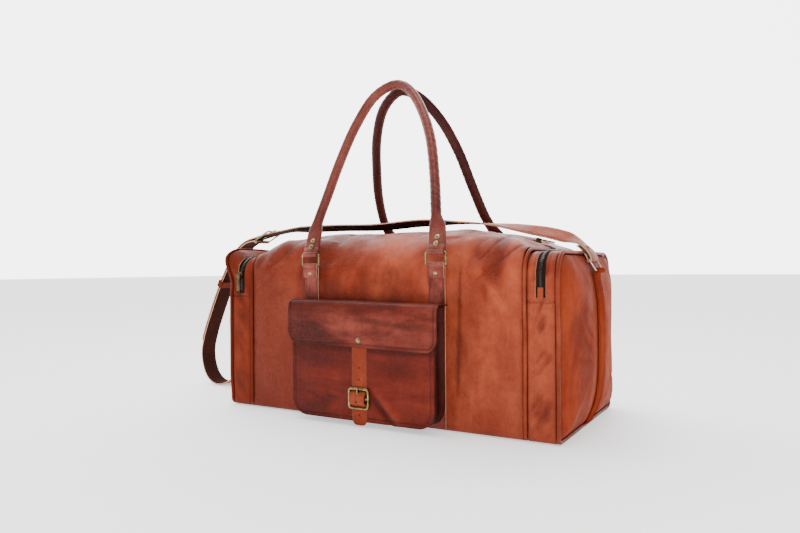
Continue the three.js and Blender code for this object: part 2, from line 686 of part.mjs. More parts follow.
function pocketStrap() {
  const flat = POCKET_FRONT + GAP + POCKET_STRAP / 2 + 0.1;
  const bulge = barY + chapeLoop + GAP + POCKET_STRAP / 2 + 0.2;
  const reach = BUCKLE_HEIGHT / 2;
  const path = [
    [-flat, FLAP_LOW + 14],
    [-flat, BUCKLE_Z + reach + 9],
    [-flat, BUCKLE_Z + reach - 2.5],
    [-bulge, BUCKLE_Z + 4.5],
    [-bulge, BUCKLE_Z - 4.5],
    [-flat, BUCKLE_Z - reach + 2.5],
    [-flat, BUCKLE_Z - reach - 9],
    [-flat, POCKET_STRAP_TIP],
  ];
  const ribbon = sweep(inYZ(path), AXIS_X, () => rectangle(POCKET_STRAP, POCKET_STRAP_WIDTH));
  const tip = archOutline(POCKET_STRAP_WIDTH / 2, POCKET_STRAP_TIP, FLAP_LOW + 20, 1, 12, 4);
  const trimmed = common(ribbon, extrudeY(tip, [], -bulge - 9, -HALF));
  return cut(trimmed, block(-2.2, 2.2, -bulge - 9, -flat + 9, BUCKLE_Z - 4, BUCKLE_Z + reach - 1));
}

// A frame with three bars in one plane, centred on its middle bar
function barBuckle(width, height, radius) {
  const frame = wireRing(width, height, radius, 3);
  return join(frame.translate(0, 0, -height / 2), rod("x", radius, width - 0.5, 0, 0, 0, 8));
}

function buckleProng(reach, radius, wire, lift) {
  const eye = rod("x", radius + GAP + 1.3, 3, 0, 0, 0, 12);
  const path = inYZ([[-radius - GAP - 0.5, 0], [-lift, 5], [-lift, reach + 2.5]]);
  const arm = sweep(path, AXIS_X, () => rectangle(wire, 2.2));
  return cut(join(eye, arm), rod("x", radius + GAP, 12, 0, 0, 0, 12));
}

// A leather tab folded round the buckle's middle bar and sewn to the pocket behind the strap
function buckleChape() {
  const back = POCKET_FRONT + GAP;
  const leaf = block(-12, 12, -back - chapeLeaf, -back, BUCKLE_Z - 4, BUCKLE_Z + 4);
  const loop = rod("x", chapeLoop, 24, 0, -barY, BUCKLE_Z);
  const bore = rod("x", BUCKLE_WIRE + GAP, 40, 0, -barY, BUCKLE_Z);
  const slot = block(-2, 2, -barY - 9, -back - chapeLeaf, BUCKLE_Z - 9, BUCKLE_Z + 9);
  return cut(join(leaf, loop), bore, slot);
}

const pocketFront = extrudeY(pocketOutline(0), [], -POCKET_FRONT, -(POCKET_FRONT - WALL));
addMesh(bag, "pocket_front", pocketFront, darkLeather);
addMesh(bag, "pocket_gusset", pocketGusset(), darkLeather);
addMesh(bag, "pocket_flap", pocketFlap(), darkLeather);
addMesh(bag, "pocket_strap", pocketStrap(), strapLeather);
addMesh(bag, "buckle_chape", buckleChape(), strapLeather);
const buckleFrame = barBuckle(POCKET_STRAP_WIDTH + 6.6, BUCKLE_HEIGHT, BUCKLE_WIRE);
addMesh(bag, "pocket_buckle", buckleFrame, brass, [0, -barY, BUCKLE_Z]);
const prong = buckleProng(BUCKLE_HEIGHT / 2, BUCKLE_WIRE, 2, BUCKLE_WIRE + GAP + 1.1);
addMesh(bag, "pocket_buckle_prong", prong, brass, [0, -barY, BUCKLE_Z]);
const flapFace = FLAP_BACK + WALL;
addMesh(bag, "flap_rivet", rivet(), brass, [0, -flapFace - GAP, FLAP_LOW + 10], [Math.PI / 2, 0, 0]);

// ---------- shoulder strap ----------

// Each ring turns about its lower bar in the end strip; the second bar carries the strap
const ringAngle = { right: THREE.MathUtils.degToRad(-33), left: THREE.MathUtils.degToRad(-140) };

function ringBar(side, angle) {
  return [side * STRAP_RING_X + RING_HEIGHT * Math.sin(angle), STRAP_RING_Z + RING_HEIGHT * Math.cos(angle)];
}

function strapEye(ribbon, x, z) {
  const loop = rod("y", LOOP_OUTER, STRAP_WIDTH, x, 0, z);
  return cut(join(ribbon, loop), rod("y", LOOP_INNER, STRAP_WIDTH + 8, x, 0, z));
}

const ribbonAlong = (path) => sweep(path, AXIS_Y, () => rectangle(STRAP_THICKNESS, STRAP_WIDTH));

const [rightBarX, rightBarZ] = ringBar(1, ringAngle.right);
const [leftBarX, leftBarZ] = ringBar(-1, ringAngle.left);

// The buckle's hinge bar carries the short strap, and the long strap comes in under its far bar
const END = LENGTH / 2;
const HINGE_BAR = [-END - 58, CROWN_HEIGHT - 5];
const FAR_BAR = [-END - 22, CROWN_HEIGHT + 13];
const buckleReach = Math.hypot(FAR_BAR[0] - HINGE_BAR[0], FAR_BAR[1] - HINGE_BAR[1]);
const buckleTurn = Math.atan2(FAR_BAR[0] - HINGE_BAR[0], FAR_BAR[1] - HINGE_BAR[1]);

// The short strap: from the buckle down to the ground and up again to the left ring,
// as distances beyond the left end and heights
const shortHang = [
  [79, 301], [101, 290], [127, 262], [157, 212], [183, 158], [204, 108], [214, 70], [209, 36], [196, 14],
  [176, 2.9], [153, 4], [125, 18], [97, 48], [71, 96], [53, 150], [43, 190],
];
const shortPath = curved(inXZ([
  [HINGE_BAR[0] - LOOP_INNER - 0.8, HINGE_BAR[1] - 0.5],
  ...shortHang.map(([beyond, z]) => [-END - beyond, z]),
  [leftBarX - 1, leftBarZ - 2],
]), 60);

// The long strap's tail lies on the short strap, on its outer side
const tailPitch = STRAP_THICKNESS + 2 * GAP + 0.1;
const shortLine = shortPath.map((p) => [p.x, p.z]);
const tail = offsetLine(shortLine, tailPitch).filter(([x, z]) => x < -END - 80 && z > 84).slice(0, 20);

// The long strap: distances beyond the right end, then shares of the half length over the crown,
// then distances beyond the left end
const rightEnd = [[6, 268], [-2, 276], [-13, 284], [-29, 291], [-55, 299]];
const overCrown = [
  [0.695, 307], [0.525, 316], [0.285, 323], [0.03, 325], [-0.249, 321], [-0.544, 323], [-0.787, 323],
];
const longPath = curved(inXZ([
  [rightBarX + 1.6, rightBarZ + LOOP_INNER + 1.4],
  ...rightEnd.map(([beyond, z]) => [END + beyond, z]),
  ...overCrown.map(([share, z]) => [END * share, z]),
  [-END + 15, 321.5],
  [FAR_BAR[0] + 1.6, FAR_BAR[1] - 3.6],
  [-END - 42, 313.5],
  [HINGE_BAR[0] - 3.2, HINGE_BAR[1] + 6.4],
  ...tail,
]), 84);

function alongBuckle(geometry) {
  return geometry.rotateY(buckleTurn).translate(HINGE_BAR[0], 0, HINGE_BAR[1]);
}

const longStrap = strapEye(ribbonAlong(longPath), rightBarX, rightBarZ);
const prongSlot = alongBuckle(block(-12, 2, -2.6, 2.6, -6, 29));
addMesh(bag, "strap_long", cut(longStrap, prongSlot), strapLeather);

const shortRibbon = strapEye(ribbonAlong(shortPath), leftBarX, leftBarZ);
const hingeEye = rod("y", LOOP_OUTER, STRAP_WIDTH, HINGE_BAR[0], 0, HINGE_BAR[1]);
const hingeBore = rod("y", LOOP_INNER, STRAP_WIDTH + 8, HINGE_BAR[0], 0, HINGE_BAR[1]);
const eyeNotch = block(HINGE_BAR[0] - 5, HINGE_BAR[0] + 9, -2.4, 2.4, HINGE_BAR[1] - 9, HINGE_BAR[1] + 12);
addMesh(bag, "strap_short", cut(join(shortRibbon, hingeEye), hingeBore, eyeNotch), strapLeather);

const strapBuckle = new THREE.Group();
strapBuckle.position.set(HINGE_BAR[0], 0, HINGE_BAR[1]);
strapBuckle.rotation.y = buckleTurn;
bag.add(strapBuckle);
const strapFrame = wireRing(STRAP_WIDTH + 8, buckleReach, WIRE_RADIUS, 3.4).rotateZ(Math.PI / 2);
addMesh(strapBuckle, "strap_buckle", strapFrame, brass);
const strapProng = buckleProng(buckleReach, WIRE_RADIUS, 2, WIRE_RADIUS + GAP + 1.1).rotateZ(-Math.PI / 2);
addMesh(strapBuckle, "strap_prong", strapProng, brass);

// The keeper is a small leather loop round both layers of strap
const keeperStep = shortPath.findIndex((p) => p.z < 214);
const keeperWay = shortPath[keeperStep - 1].clone().sub(shortPath[keeperStep + 1]).normalize();
const keeper = new THREE.Group();
keeper.position.copy(shortPath[keeperStep]);
keeper.position.add(new THREE.Vector3(-keeperWay.z, 0, keeperWay.x).multiplyScalar(tailPitch / 2));
keeper.rotation.y = Math.atan2(keeperWay.x, keeperWay.z);
bag.add(keeper);
const keeperHalf = (tailPitch + STRAP_THICKNESS) / 2 + 2 * GAP;
const keeperSide = STRAP_WIDTH / 2 + 2 * GAP;
const keeperIn = archOutline(keeperHalf, -keeperSide, keeperSide, 1, 1, 2);
const keeperEdge = keeperSide + LOOP_WALL;
const keeperOut = archOutline(keeperHalf + LOOP_WALL, -keeperEdge, keeperEdge, 2, 2, 2);
const keeperDepth = { depth: KEEPER_WIDTH, bevelEnabled: false };
const keeperLoop = new THREE.ExtrudeGeometry(shapeOf(keeperOut, [keeperIn]), keeperDepth);
addMesh(keeper, "strap_keeper", keeperLoop.translate(0, 0, -KEEPER_WIDTH / 2), strapLeather);

for (const side of [1, -1]) {
  const where = side > 0 ? "right" : "left";
  const ring = wireRing(STRAP_RING_WIDTH, RING_HEIGHT, WIRE_RADIUS).rotateZ(Math.PI / 2);
  const foot = [side * STRAP_RING_X, 0, STRAP_RING_Z];
  addMesh(bag, `strap_ring_${where}`, ring, nickel, foot, [0, ringAngle[where], 0]);
}

// The rivet that closes the strap's fold sits on top of the strap, square to it
const foldTurn = THREE.MathUtils.degToRad(39);
const foldFoot = new THREE.Vector3(END - 0.5, 0, 274.5);
const foldOut = new THREE.Vector3(Math.sin(foldTurn), 0, Math.cos(foldTurn));
const rivetFoot = foldFoot.addScaledVector(foldOut, STRAP_THICKNESS / 2 + 2 * GAP);
addMesh(bag, "strap_rivet_right", rivet(), brass, rivetFoot.toArray(), [0, foldTurn, 0]);

export default bag;
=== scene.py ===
# Looks of a square leather duffel bag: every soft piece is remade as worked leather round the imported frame.
# Shapes are worked out in millimetres in the bag's own frame and turned into metres when a mesh is made.
import math

import bmesh
import bpy
import numpy as np
from mathutils import Matrix, Vector


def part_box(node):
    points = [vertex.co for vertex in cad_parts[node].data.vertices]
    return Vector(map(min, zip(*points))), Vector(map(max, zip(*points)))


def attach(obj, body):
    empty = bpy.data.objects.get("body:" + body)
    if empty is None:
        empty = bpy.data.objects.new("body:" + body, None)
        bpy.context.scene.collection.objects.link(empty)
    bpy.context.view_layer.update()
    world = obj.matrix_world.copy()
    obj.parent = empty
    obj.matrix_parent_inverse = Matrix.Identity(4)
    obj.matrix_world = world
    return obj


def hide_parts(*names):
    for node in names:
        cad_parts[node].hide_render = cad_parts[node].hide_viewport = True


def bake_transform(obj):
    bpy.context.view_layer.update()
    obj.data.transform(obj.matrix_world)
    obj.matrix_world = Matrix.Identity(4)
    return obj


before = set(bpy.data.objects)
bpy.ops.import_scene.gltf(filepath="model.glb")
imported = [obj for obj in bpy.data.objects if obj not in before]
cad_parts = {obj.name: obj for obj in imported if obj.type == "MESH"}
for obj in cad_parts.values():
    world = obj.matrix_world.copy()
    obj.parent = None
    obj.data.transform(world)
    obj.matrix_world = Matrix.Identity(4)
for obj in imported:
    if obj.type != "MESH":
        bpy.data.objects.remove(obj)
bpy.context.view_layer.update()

MM = 0.001

# Sizes shared with the frame, in millimetres
LENGTH = 610
DEPTH = 296
END_HEIGHT = 268
SEAM_HEIGHT = 276
CROWN_HEIGHT = 308
WALL = 2.6
GAP = 0.35
PIPING = 2.8
TOP_CORNER = 34
BOTTOM_CORNER = 10
DOME_DROP = 103
END_BULGE = 21
GUSSET_WIDTH = 41
END_SLOT = 14
MAIN_SLOT = 30
END_ZIP_LOW = 202
CROSS_SEAM = 197.5
HANDLE_X = 118
HANDLE_LEAN = math.radians(24.7)
RING_LOW_Z = 250
RING_HEIGHT = 19
WIRE = 1.5
LOOP_WALL = 2.2
BAND_WIDTH = 28
STRAP_WIDTH = 38
STRAP_THICKNESS = 3.4

HALF = DEPTH / 2
GUSSET_OUT = LENGTH / 2 - 2 * PIPING - 0.6
GUSSET_IN = GUSSET_OUT - GUSSET_WIDTH
SEAM_X = GUSSET_IN - 2 * PIPING - 0.6
END_SLOT_X = (GUSSET_IN + GUSSET_OUT) / 2
PANEL_X = LENGTH / 2 - PIPING
PANEL_MARGIN = PIPING + 2 * GAP + 1
PANEL_LOW = 2 * PIPING + 3 * GAP
CROWN_DROP = CROWN_HEIGHT - SEAM_HEIGHT
CROWN_RADIUS = (SEAM_X**2 + CROWN_DROP**2) / (2 * CROWN_DROP)
RING_Y = HALF + GAP + WIRE + GAP + LOOP_WALL
LOOP_INNER = WIRE + GAP
LOOP_OUTER = LOOP_INNER + LOOP_WALL

X_AXIS = np.array([1.0, 0, 0])
Y_AXIS = np.array([0, 1.0, 0])
Z_AXIS = np.array([0, 0, 1.0])


# ---------- materials ----------


class Nodes:
    """Builds a node tree with short calls."""

    def __init__(self, name):
        self.material = bpy.data.materials.new(name)
        self.material.use_nodes = True
        self.tree = self.material.node_tree
        self.shader = self.tree.nodes["Principled BSDF"]
        self.place = self.add("ShaderNodeTexCoord").outputs["Object"]

    def add(self, kind, **values):
        node = self.tree.nodes.new(kind)
        for key, value in values.items():
            if hasattr(node, key):
                setattr(node, key, value)
            else:
                node.inputs[key.replace("_", " ")].default_value = value
        return node

    def link(self, source, target):
        self.tree.links.new(source, target)

    def stretched(self, scale):
        node = self.add("ShaderNodeMapping")
        node.inputs["Scale"].default_value = scale
        self.link(self.place, node.inputs["Vector"])
        return node.outputs["Vector"]

    def noise(self, scale, detail=4.0, rough=0.55, vector=None, distortion=0.0):
        node = self.add("ShaderNodeTexNoise")
        node.inputs["Scale"].default_value = scale
        node.inputs["Detail"].default_value = detail
        node.inputs["Roughness"].default_value = rough
        node.inputs["Distortion"].default_value = distortion
        self.link(vector or self.place, node.inputs["Vector"])
        return node.outputs["Fac"]

    def cells(self, scale, vector=None, feature="F1"):
        node = self.add("ShaderNodeTexVoronoi", feature=feature)
        node.inputs["Scale"].default_value = scale
        self.link(vector or self.place, node.inputs["Vector"])
        return node.outputs["Distance"]

    def ramp(self, value, stops):
        node = self.add("ShaderNodeValToRGB")
        ramp = node.color_ramp
        while len(ramp.elements) < len(stops):
            ramp.elements.new(0.5)
        for element, (position, color) in zip(ramp.elements, stops):
            element.position = position
            element.color = (*color, 1) if len(color) == 3 else color
        self.link(value, node.inputs["Fac"])
        return node.outputs["Color"]

    def mix(self, factor, one, two, blend="MIX"):
        node = self.add("ShaderNodeMix", data_type="RGBA", blend_type=blend)
        for socket, value in ((node.inputs[0], factor), (node.inputs[6], one), (node.inputs[7], two)):
            if isinstance(value, (int, float)):
                socket.default_value = value
            elif isinstance(value, tuple):
                socket.default_value = (*value, 1)
            else:
                self.link(value, socket)
        return node.outputs[2]

    def math(self, operation, one, two=0.5):
        node = self.add("ShaderNodeMath", operation=operation)
        for socket, value in ((node.inputs[0], one), (node.inputs[1], two)):
            if isinstance(value, (int, float)):
                socket.default_value = value
            else:
                self.link(value, socket)
        return node.outputs[0]

    def spread(self, value, low, high, to_low, to_high):
        node = self.add("ShaderNodeMapRange")
        self.link(value, node.inputs["Value"])
        for key, number in (("From Min", low), ("From Max", high), ("To Min", to_low), ("To Max", to_high)):
            node.inputs[key].default_value = number
        return node.outputs["Result"]

    def attribute(self, name):
        return self.add("ShaderNodeAttribute", attribute_name=name).outputs["Fac"]

    def bump(self, height, distance, strength=1.0, normal=None):
        node = self.add("ShaderNodeBump")
        node.inputs["Strength"].default_value = strength
        node.inputs["Distance"].default_value = distance
        self.link(height, node.inputs["Height"])
        if normal:
            self.link(normal, node.inputs["Normal"])
        return node.outputs["Normal"]

    def finish(self, color=None, roughness=None, normal=None, **values):
        for socket, value in (("Base Color", color), ("Roughness", roughness), ("Normal", normal)):
            if value is None:
                continue
            if isinstance(value, (int, float)):
                self.shader.inputs[socket].default_value = value
            elif isinstance(value, tuple):
                self.shader.inputs[socket].default_value = (*value, 1)
            else:
                self.link(value, self.shader.inputs[socket])
        for key, value in values.items():
            self.shader.inputs[key.replace("_", " ")].default_value = value
        return self.material


def scaled(color, factor):
    return tuple(min(1.0, c * factor) for c in color)


def leather(
    name, tone, dark, light, streak=(1, 1, 0.35), worn_edge=None,
    gloss=0.42, patch=9.0, left_shade=0.0, shine=0.10, crease=0.42,
):
    """Pull-up leather: cloudy tone, streaks, fine pores and pebbled grain, edges rubbed dark, and painted shade
    in seams, grooves, folds and under other parts.

    A per-point weight paints highlight on what stands out and shade in hollows and under parts, with some
    random tone. An optional strength paints shade over the bag's left side and switches on a darkening towards
    the foot."""
    n = Nodes(name)
    long = n.stretched(streak)
    clouds = n.noise(patch, 5, 0.6, long, 0.6)
    color = n.ramp(clouds, [(0.36, dark), (0.49, tone), (0.66, light)])
    broad = n.noise(4.5, 3, 0.5, long, 0.8)
    color = n.mix(n.spread(broad, 0.5, 0.72, 0, 0.5), color, dark)
    color = n.mix(n.spread(broad, 0.44, 0.28, 0, 0.45), color, light)
    # painted highlight on raised folds and painted shade in hollows and under parts, from a per-point weight
    # that also holds some random tone
    painted_shading_and_tone = n.attribute("painted_shading_and_tone")
    color = n.mix(n.spread(painted_shading_and_tone, 0.05, 1.0, 0, 0.85), color, scaled(light, 1.1))
    color = n.mix(n.spread(painted_shading_and_tone, -0.05, -0.8, 0, 0.95), color, scaled(dark, 0.8))
    # painted shade: the bag's left side darkened as if turned from the light; the colour also darkens towards
    # the foot
    if left_shade:
        parts = n.add("ShaderNodeSeparateXYZ")
        n.link(n.place, parts.inputs["Vector"])
        color = n.mix(n.spread(parts.outputs["X"], -0.21, -0.03, left_shade, 0), color, dark)
        color = n.mix(n.spread(parts.outputs["Z"], 0.0, 0.17, 0.32, 0), color, dark)
    mottle = n.noise(60, 6, 0.7)
    color = n.mix(n.spread(mottle, 0.42, 0.7, 0, 0.45), color, dark)
    streaks = n.noise(34, 5, 0.65, n.stretched((1, 1, 0.22)), 0.5)
    color = n.mix(n.spread(streaks, 0.55, 0.78, 0, 0.4), color, scaled(dark, 0.8))
    fine = n.noise(420, 3, 0.6)
    color = n.mix(n.spread(fine, 0.3, 0.75, 0.0, 0.22), color, scaled(light, 1.25))
    scuffs = n.noise(26, 8, 0.75, n.stretched((1, 1, 2.6)), 1.2)
    color = n.mix(n.spread(scuffs, 0.62, 0.74, 0, 0.35), color, scaled(light, 1.2))
    # a per-point weight darkens rubbed edges (wear) and paints shade in seams, grooves, folds and under other
    # parts
    wear_and_shade = n.attribute("wear_and_shade")
    color = n.mix(n.math("MULTIPLY", wear_and_shade, 0.75), color, worn_edge or scaled(dark, 0.55))
    grain = n.cells(950, n.stretched((1, 1, 0.85)))
    pores = n.noise(1400, 2, 0.6)
    creases = n.noise(62, 8, 0.64, n.stretched((1, 1, 0.7)), 1.1)
    height = n.math("ADD", n.math("MULTIPLY", grain, 0.55), n.math("MULTIPLY", pores, 0.35))
    normal = n.bump(height, 0.00035, 0.55)
    normal = n.bump(creases, 0.0022, crease, normal)
    rough = n.spread(n.noise(38, 5, 0.65), 0.3, 0.7, gloss - 0.08, gloss + 0.16)
    return n.finish(color, rough, normal, Specular_IOR_Level=shine)


def suede(name, tone, dark):
    """The flesh side of strap leather: dull, fibrous and uneven."""
    n = Nodes(name)
    fibres = n.noise(500, 6, 0.75, n.stretched((1, 1, 0.4)))
    color = n.ramp(n.noise(24, 6, 0.65), [(0.3, dark), (0.7, tone)])
    color = n.mix(n.spread(fibres, 0.35, 0.7, 0, 0.5), color, scaled(tone, 1.5))
    return n.finish(color, 0.9, n.bump(fibres, 0.0006, 0.7), Specular_IOR_Level=0.04)


def metal(name, tone, tarnish, rough=0.3):
    """Worn plated metal: cloudy tarnish, fine scratches and rubbed highlights."""
    n = Nodes(name)
    clouds = n.noise(130, 6, 0.7)
    color = n.ramp(clouds, [(0.35, tarnish), (0.62, tone)])
    scratches = n.noise(900, 4, 0.7, n.stretched((1, 6, 1)))
    color = n.mix(n.spread(scratches, 0.55, 0.75, 0, 0.4), color, scaled(tone, 1.35))
    roughness = n.spread(clouds, 0.3, 0.7, rough + 0.18, rough - 0.05)
    return n.finish(color, roughness, n.bump(scratches, 0.0001, 0.3), Metallic=1.0)


def cloth(name, tone, dark, threads=1500):
    """Woven tape or canvas."""
    n = Nodes(name)
    across = n.add("ShaderNodeTexWave", wave_type="BANDS", bands_direction="X")
    along = n.add("ShaderNodeTexWave", wave_type="BANDS", bands_direction="DIAGONAL")
    for node in (across, along):
        node.inputs["Scale"].default_value = threads / 6
        node.inputs["Distortion"].default_value = 0.6
        n.link(n.place, node.inputs["Vector"])
    weave = n.math("MULTIPLY", across.outputs["Fac"], along.outputs["Fac"])
    color = n.mix(weave, dark, tone)
    color = n.mix(n.spread(n.noise(45, 5, 0.6), 0.35, 0.7, 0, 0.3), color, scaled(tone, 1.4))
    return n.finish(color, 0.9, n.bump(weave, 0.0004, 0.6), Specular_IOR_Level=0.06)


def thread(name, tone):
    n = Nodes(name)
    twist = n.noise(2600, 2, 0.5)
    color = n.mix(n.spread(twist, 0.35, 0.65, 0, 1), scaled(tone, 0.6), tone)
    return n.finish(color, 0.7, n.bump(twist, 0.0002, 0.6), Specular_IOR_Level=0.08)


def coil(name):
    n = Nodes(name)
    spots = n.noise(300, 4, 0.6)
    color = n.ramp(spots, [(0.35, (0.012, 0.010, 0.009)), (0.7, (0.05, 0.042, 0.038))])
    return n.finish(color, n.spread(spots, 0.3, 0.7, 0.3, 0.5), n.bump(spots, 0.0001, 0.3))


def fibreboard(name):
    n = Nodes(name)
    fibres = n.noise(240, 8, 0.75)
    color = n.ramp(fibres, [(0.3, (0.20, 0.17, 0.13)), (0.7, (0.40, 0.35, 0.28))])
    return n.finish(color, 0.9, n.bump(fibres, 0.0005, 0.5))


def studio_white(name):
    n = Nodes(name)
    shade = n.noise(3, 3, 0.5)
    color = n.ramp(shade, [(0.3, (0.93, 0.93, 0.93)), (0.7, (0.96, 0.96, 0.96))])
    return n.finish(color, 0.75, Emission_Color=(1, 1, 1, 1), Emission_Strength=0.72)


# The left-shade strength given to the tan and flap leathers paints shade over the bag's left side.
TAN = leather("tan_leather", (0.235, 0.030, 0.0120), (0.100, 0.0105, 0.0050), (0.41, 0.076, 0.032), left_shade=0.85)
END_TONES = (0.215, 0.026, 0.0105), (0.115, 0.0125, 0.005), (0.34, 0.056, 0.020)
TAN_END = leather("tan_leather_end", *END_TONES, gloss=0.5, shine=0.015)
TAN_STRIP = leather("end_strip_leather", *END_TONES, gloss=0.8, shine=0.0)
# a darker copy of the tan leather for the parts at the left end: painted shade
TAN_SHADED_LEFT = leather(
    "tan_leather_shaded_left", (0.155, 0.0185, 0.0065), (0.085, 0.0095, 0.0042), (0.23, 0.034, 0.012), shine=0.05
)
DARK = leather(
    "dark_leather", (0.128, 0.0120, 0.0062), (0.054, 0.0056, 0.0040), (0.205, 0.025, 0.0115), (0.5, 1, 1.6),
    patch=12,
)
FLAP = leather(
    "flap_leather", (0.125, 0.0155, 0.0092), (0.034, 0.0048, 0.0042), (0.25, 0.047, 0.029), (0.5, 1, 1.8),
    patch=14, left_shade=0.8,
)
GUSSET_DARK = leather(
    "pocket_gusset_leather", (0.045, 0.0085, 0.006), (0.018, 0.004, 0.003), (0.08, 0.015, 0.010)
)
BAND = leather(
    "band_leather", (0.225, 0.046, 0.031), (0.065, 0.011, 0.008), (0.38, 0.105, 0.076), (1, 1, 0.8), patch=16
)
# a darker copy of the handle leather for the rear handle, which lies in shade: painted shade
HANDLE_SHADED_REAR = leather(
    "handle_leather_rear", (0.050, 0.0085, 0.0065), (0.022, 0.004, 0.003), (0.09, 0.019, 0.014), (1, 1, 0.5),
    gloss=0.34, shine=0.12, crease=0.12,
)
HANDLE = leather(
    "handle_leather", (0.150, 0.031, 0.022), (0.060, 0.011, 0.009), (0.26, 0.070, 0.052), (1, 1, 0.5),
    gloss=0.33, shine=0.16, crease=0.12,
)
STRAP = leather(
    "strap_leather", (0.245, 0.036, 0.0145), (0.135, 0.0175, 0.0075), (0.35, 0.066, 0.026), (0.6, 1, 1),
    worn_edge=(0.16, 0.05, 0.028), shine=0.06,
)
FLESH = suede("strap_flesh_side", (0.045, 0.0125, 0.0085), (0.018, 0.006, 0.0045))
RAW = suede("raw_cut_edge", (0.62, 0.36, 0.24), (0.40, 0.19, 0.11))
BRASS = metal("antique_brass", (0.40, 0.32, 0.15), (0.10, 0.072, 0.030), 0.3)
BRASS_DARK = metal("tarnished_brass", (0.17, 0.135, 0.07), (0.045, 0.034, 0.018), 0.36)
NICKEL = metal("worn_nickel", (0.68, 0.64, 0.54), (0.34, 0.28, 0.19), 0.24)
ZIP_TAPE = cloth("zip_tape_weave", (0.036, 0.016, 0.011), (0.010, 0.005, 0.0035))
ZIP_COIL = coil("zip_coil")
CANVAS = cloth("canvas_weave", (0.42, 0.35, 0.25), (0.26, 0.21, 0.14), 900)
BOARD = fibreboard("base_fibreboard")
THREAD_TAN = thread("tan_thread", (0.22, 0.060, 0.034))
THREAD_DARK = thread("dark_thread", (0.17, 0.045, 0.030))


# ---------- mesh making ----------


def add_mesh(
    name, points, faces, material, body, replaces=(), slot=None, wear_and_shade=None, painted_shading_and_tone=None, kinds=None, smooth=True
):
    """points in millimetres. material may be a list, picked by kinds for each face. Two weights per point: edge
    wear with painted shade, and painted light and shade with random tone.
    """
    mesh = bpy.data.meshes.new(name)
    mesh.from_pydata((np.asarray(points).reshape(-1, 3) * MM).tolist(), [], [list(map(int, f)) for f in faces])
    mesh.update()
    obj = bpy.data.objects.new(name, mesh)
    bpy.context.scene.collection.objects.link(obj)
    for one in material if isinstance(material, (list, tuple)) else [material]:
        mesh.materials.append(one)
    if kinds is not None:
        mesh.polygons.foreach_set("material_index", np.asarray(kinds, np.int32))
    for key, values in (("wear_and_shade", wear_and_shade), ("painted_shading_and_tone", painted_shading_and_tone)):
        weights = np.zeros(len(mesh.vertices)) if values is None else np.asarray(values).reshape(-1)
        mesh.attributes.new(key, "FLOAT", "POINT").data.foreach_set("value", weights.astype(np.float32))
    if smooth:
        mesh.polygons.foreach_set("use_smooth", [True] * len(mesh.polygons))
    if body:
        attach(obj, body)
        for node in replaces:
            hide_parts(node)
    return obj


def apply_modifiers(obj):
    depsgraph = bpy.context.evaluated_depsgraph_get()
    mesh = bpy.data.meshes.new_from_object(obj.evaluated_get(depsgraph))
    old = obj.data
    obj.modifiers.clear()
    obj.data = mesh
    mesh.name = old.name
    bpy.data.meshes.remove(old)


def bevelled(obj, width):
    modifier = obj.modifiers.new("soft_edges", "BEVEL")
    modifier.width = width * MM
    modifier.segments = 3
    modifier.limit_method = "ANGLE"
    modifier.angle_limit = math.radians(32)
    modifier.harden_normals = False
    apply_modifiers(obj)
    obj.data.polygons.foreach_set("use_smooth", [True] * len(obj.data.polygons))
    return obj


def grid_faces(rows, cols, wrap_rows=False, wrap_cols=False, keep=None):
    faces = []
    for i in range(rows if wrap_rows else rows - 1):
        for j in range(cols if wrap_cols else cols - 1):
            if keep is not None and not keep[i, j]:
                continue
            a, b = (i + 1) % rows, (j + 1) % cols
            faces.append((i * cols + j, i * cols + b, a * cols + b, a * cols + j))
    return faces


def unit(v):
    return v / np.maximum(np.linalg.norm(v, axis=-1, keepdims=True), 1e-9)


def grid_normals(grid, wrap_rows=False, wrap_cols=False):
    def slope(axis, wrap):
        if wrap:
            return np.roll(grid, -1, axis) - np.roll(grid, 1, axis)
        return np.gradient(grid, axis=axis)

    return unit(np.cross(slope(0, wrap_rows), slope(1, wrap_cols)))


def shell(
    name, grid, thickness, material, body, wrap_cols=False, keep=None, wear_and_shade=None, rim=None, painted_shading_and_tone=None,
    **kwargs,
):
    """A sheet of leather. grid is its outer face, normals outwards; it gets an inner face and a rim."""
    rows, cols = grid.shape[:2]
    normals = grid_normals(grid, wrap_cols=wrap_cols)
    inner = grid - normals * thickness
    outer_faces = grid_faces(rows, cols, False, wrap_cols, keep)
    shift = rows * cols
    faces = list(outer_faces)
    faces += [tuple(reversed([v + shift for v in f])) for f in outer_faces]
    count = {}
    for f in outer_faces:
        for a, b in zip(f, f[1:] + f[:1]):
            count[(a, b)] = 1
    open_edges = [(a, b) for a, b in count if (b, a) not in count]
    faces += [(b, a, a + shift, b + shift) for a, b in open_edges]
    kinds = None
    if rim is not None:
        kinds = [0] * (2 * len(outer_faces)) + [1] * len(open_edges)
        material = [material, rim]
    wear_and_shade, painted_shading_and_tone = (None if w is None else np.tile(w.reshape(-1), 2) for w in (wear_and_shade, painted_shading_and_tone))
    points = np.concatenate([grid.reshape(-1, 3), inner.reshape(-1, 3)])
    used = np.unique(np.array([v for f in faces for v in f]))
    renumber = -np.ones(len(points), int)
    renumber[used] = np.arange(len(used))
    faces = [tuple(renumber[v] for v in f) for f in faces]
    wear_and_shade, painted_shading_and_tone = (None if w is None else w[used] for w in (wear_and_shade, painted_shading_and_tone))
    return add_mesh(name, points[used], faces, material, body, wear_and_shade=wear_and_shade, painted_shading_and_tone=painted_shading_and_tone, kinds=kinds, **kwargs)


def point_at(path, steps, place):
    return np.array([np.interp(place, steps, path[:, k]) for k in range(3)])


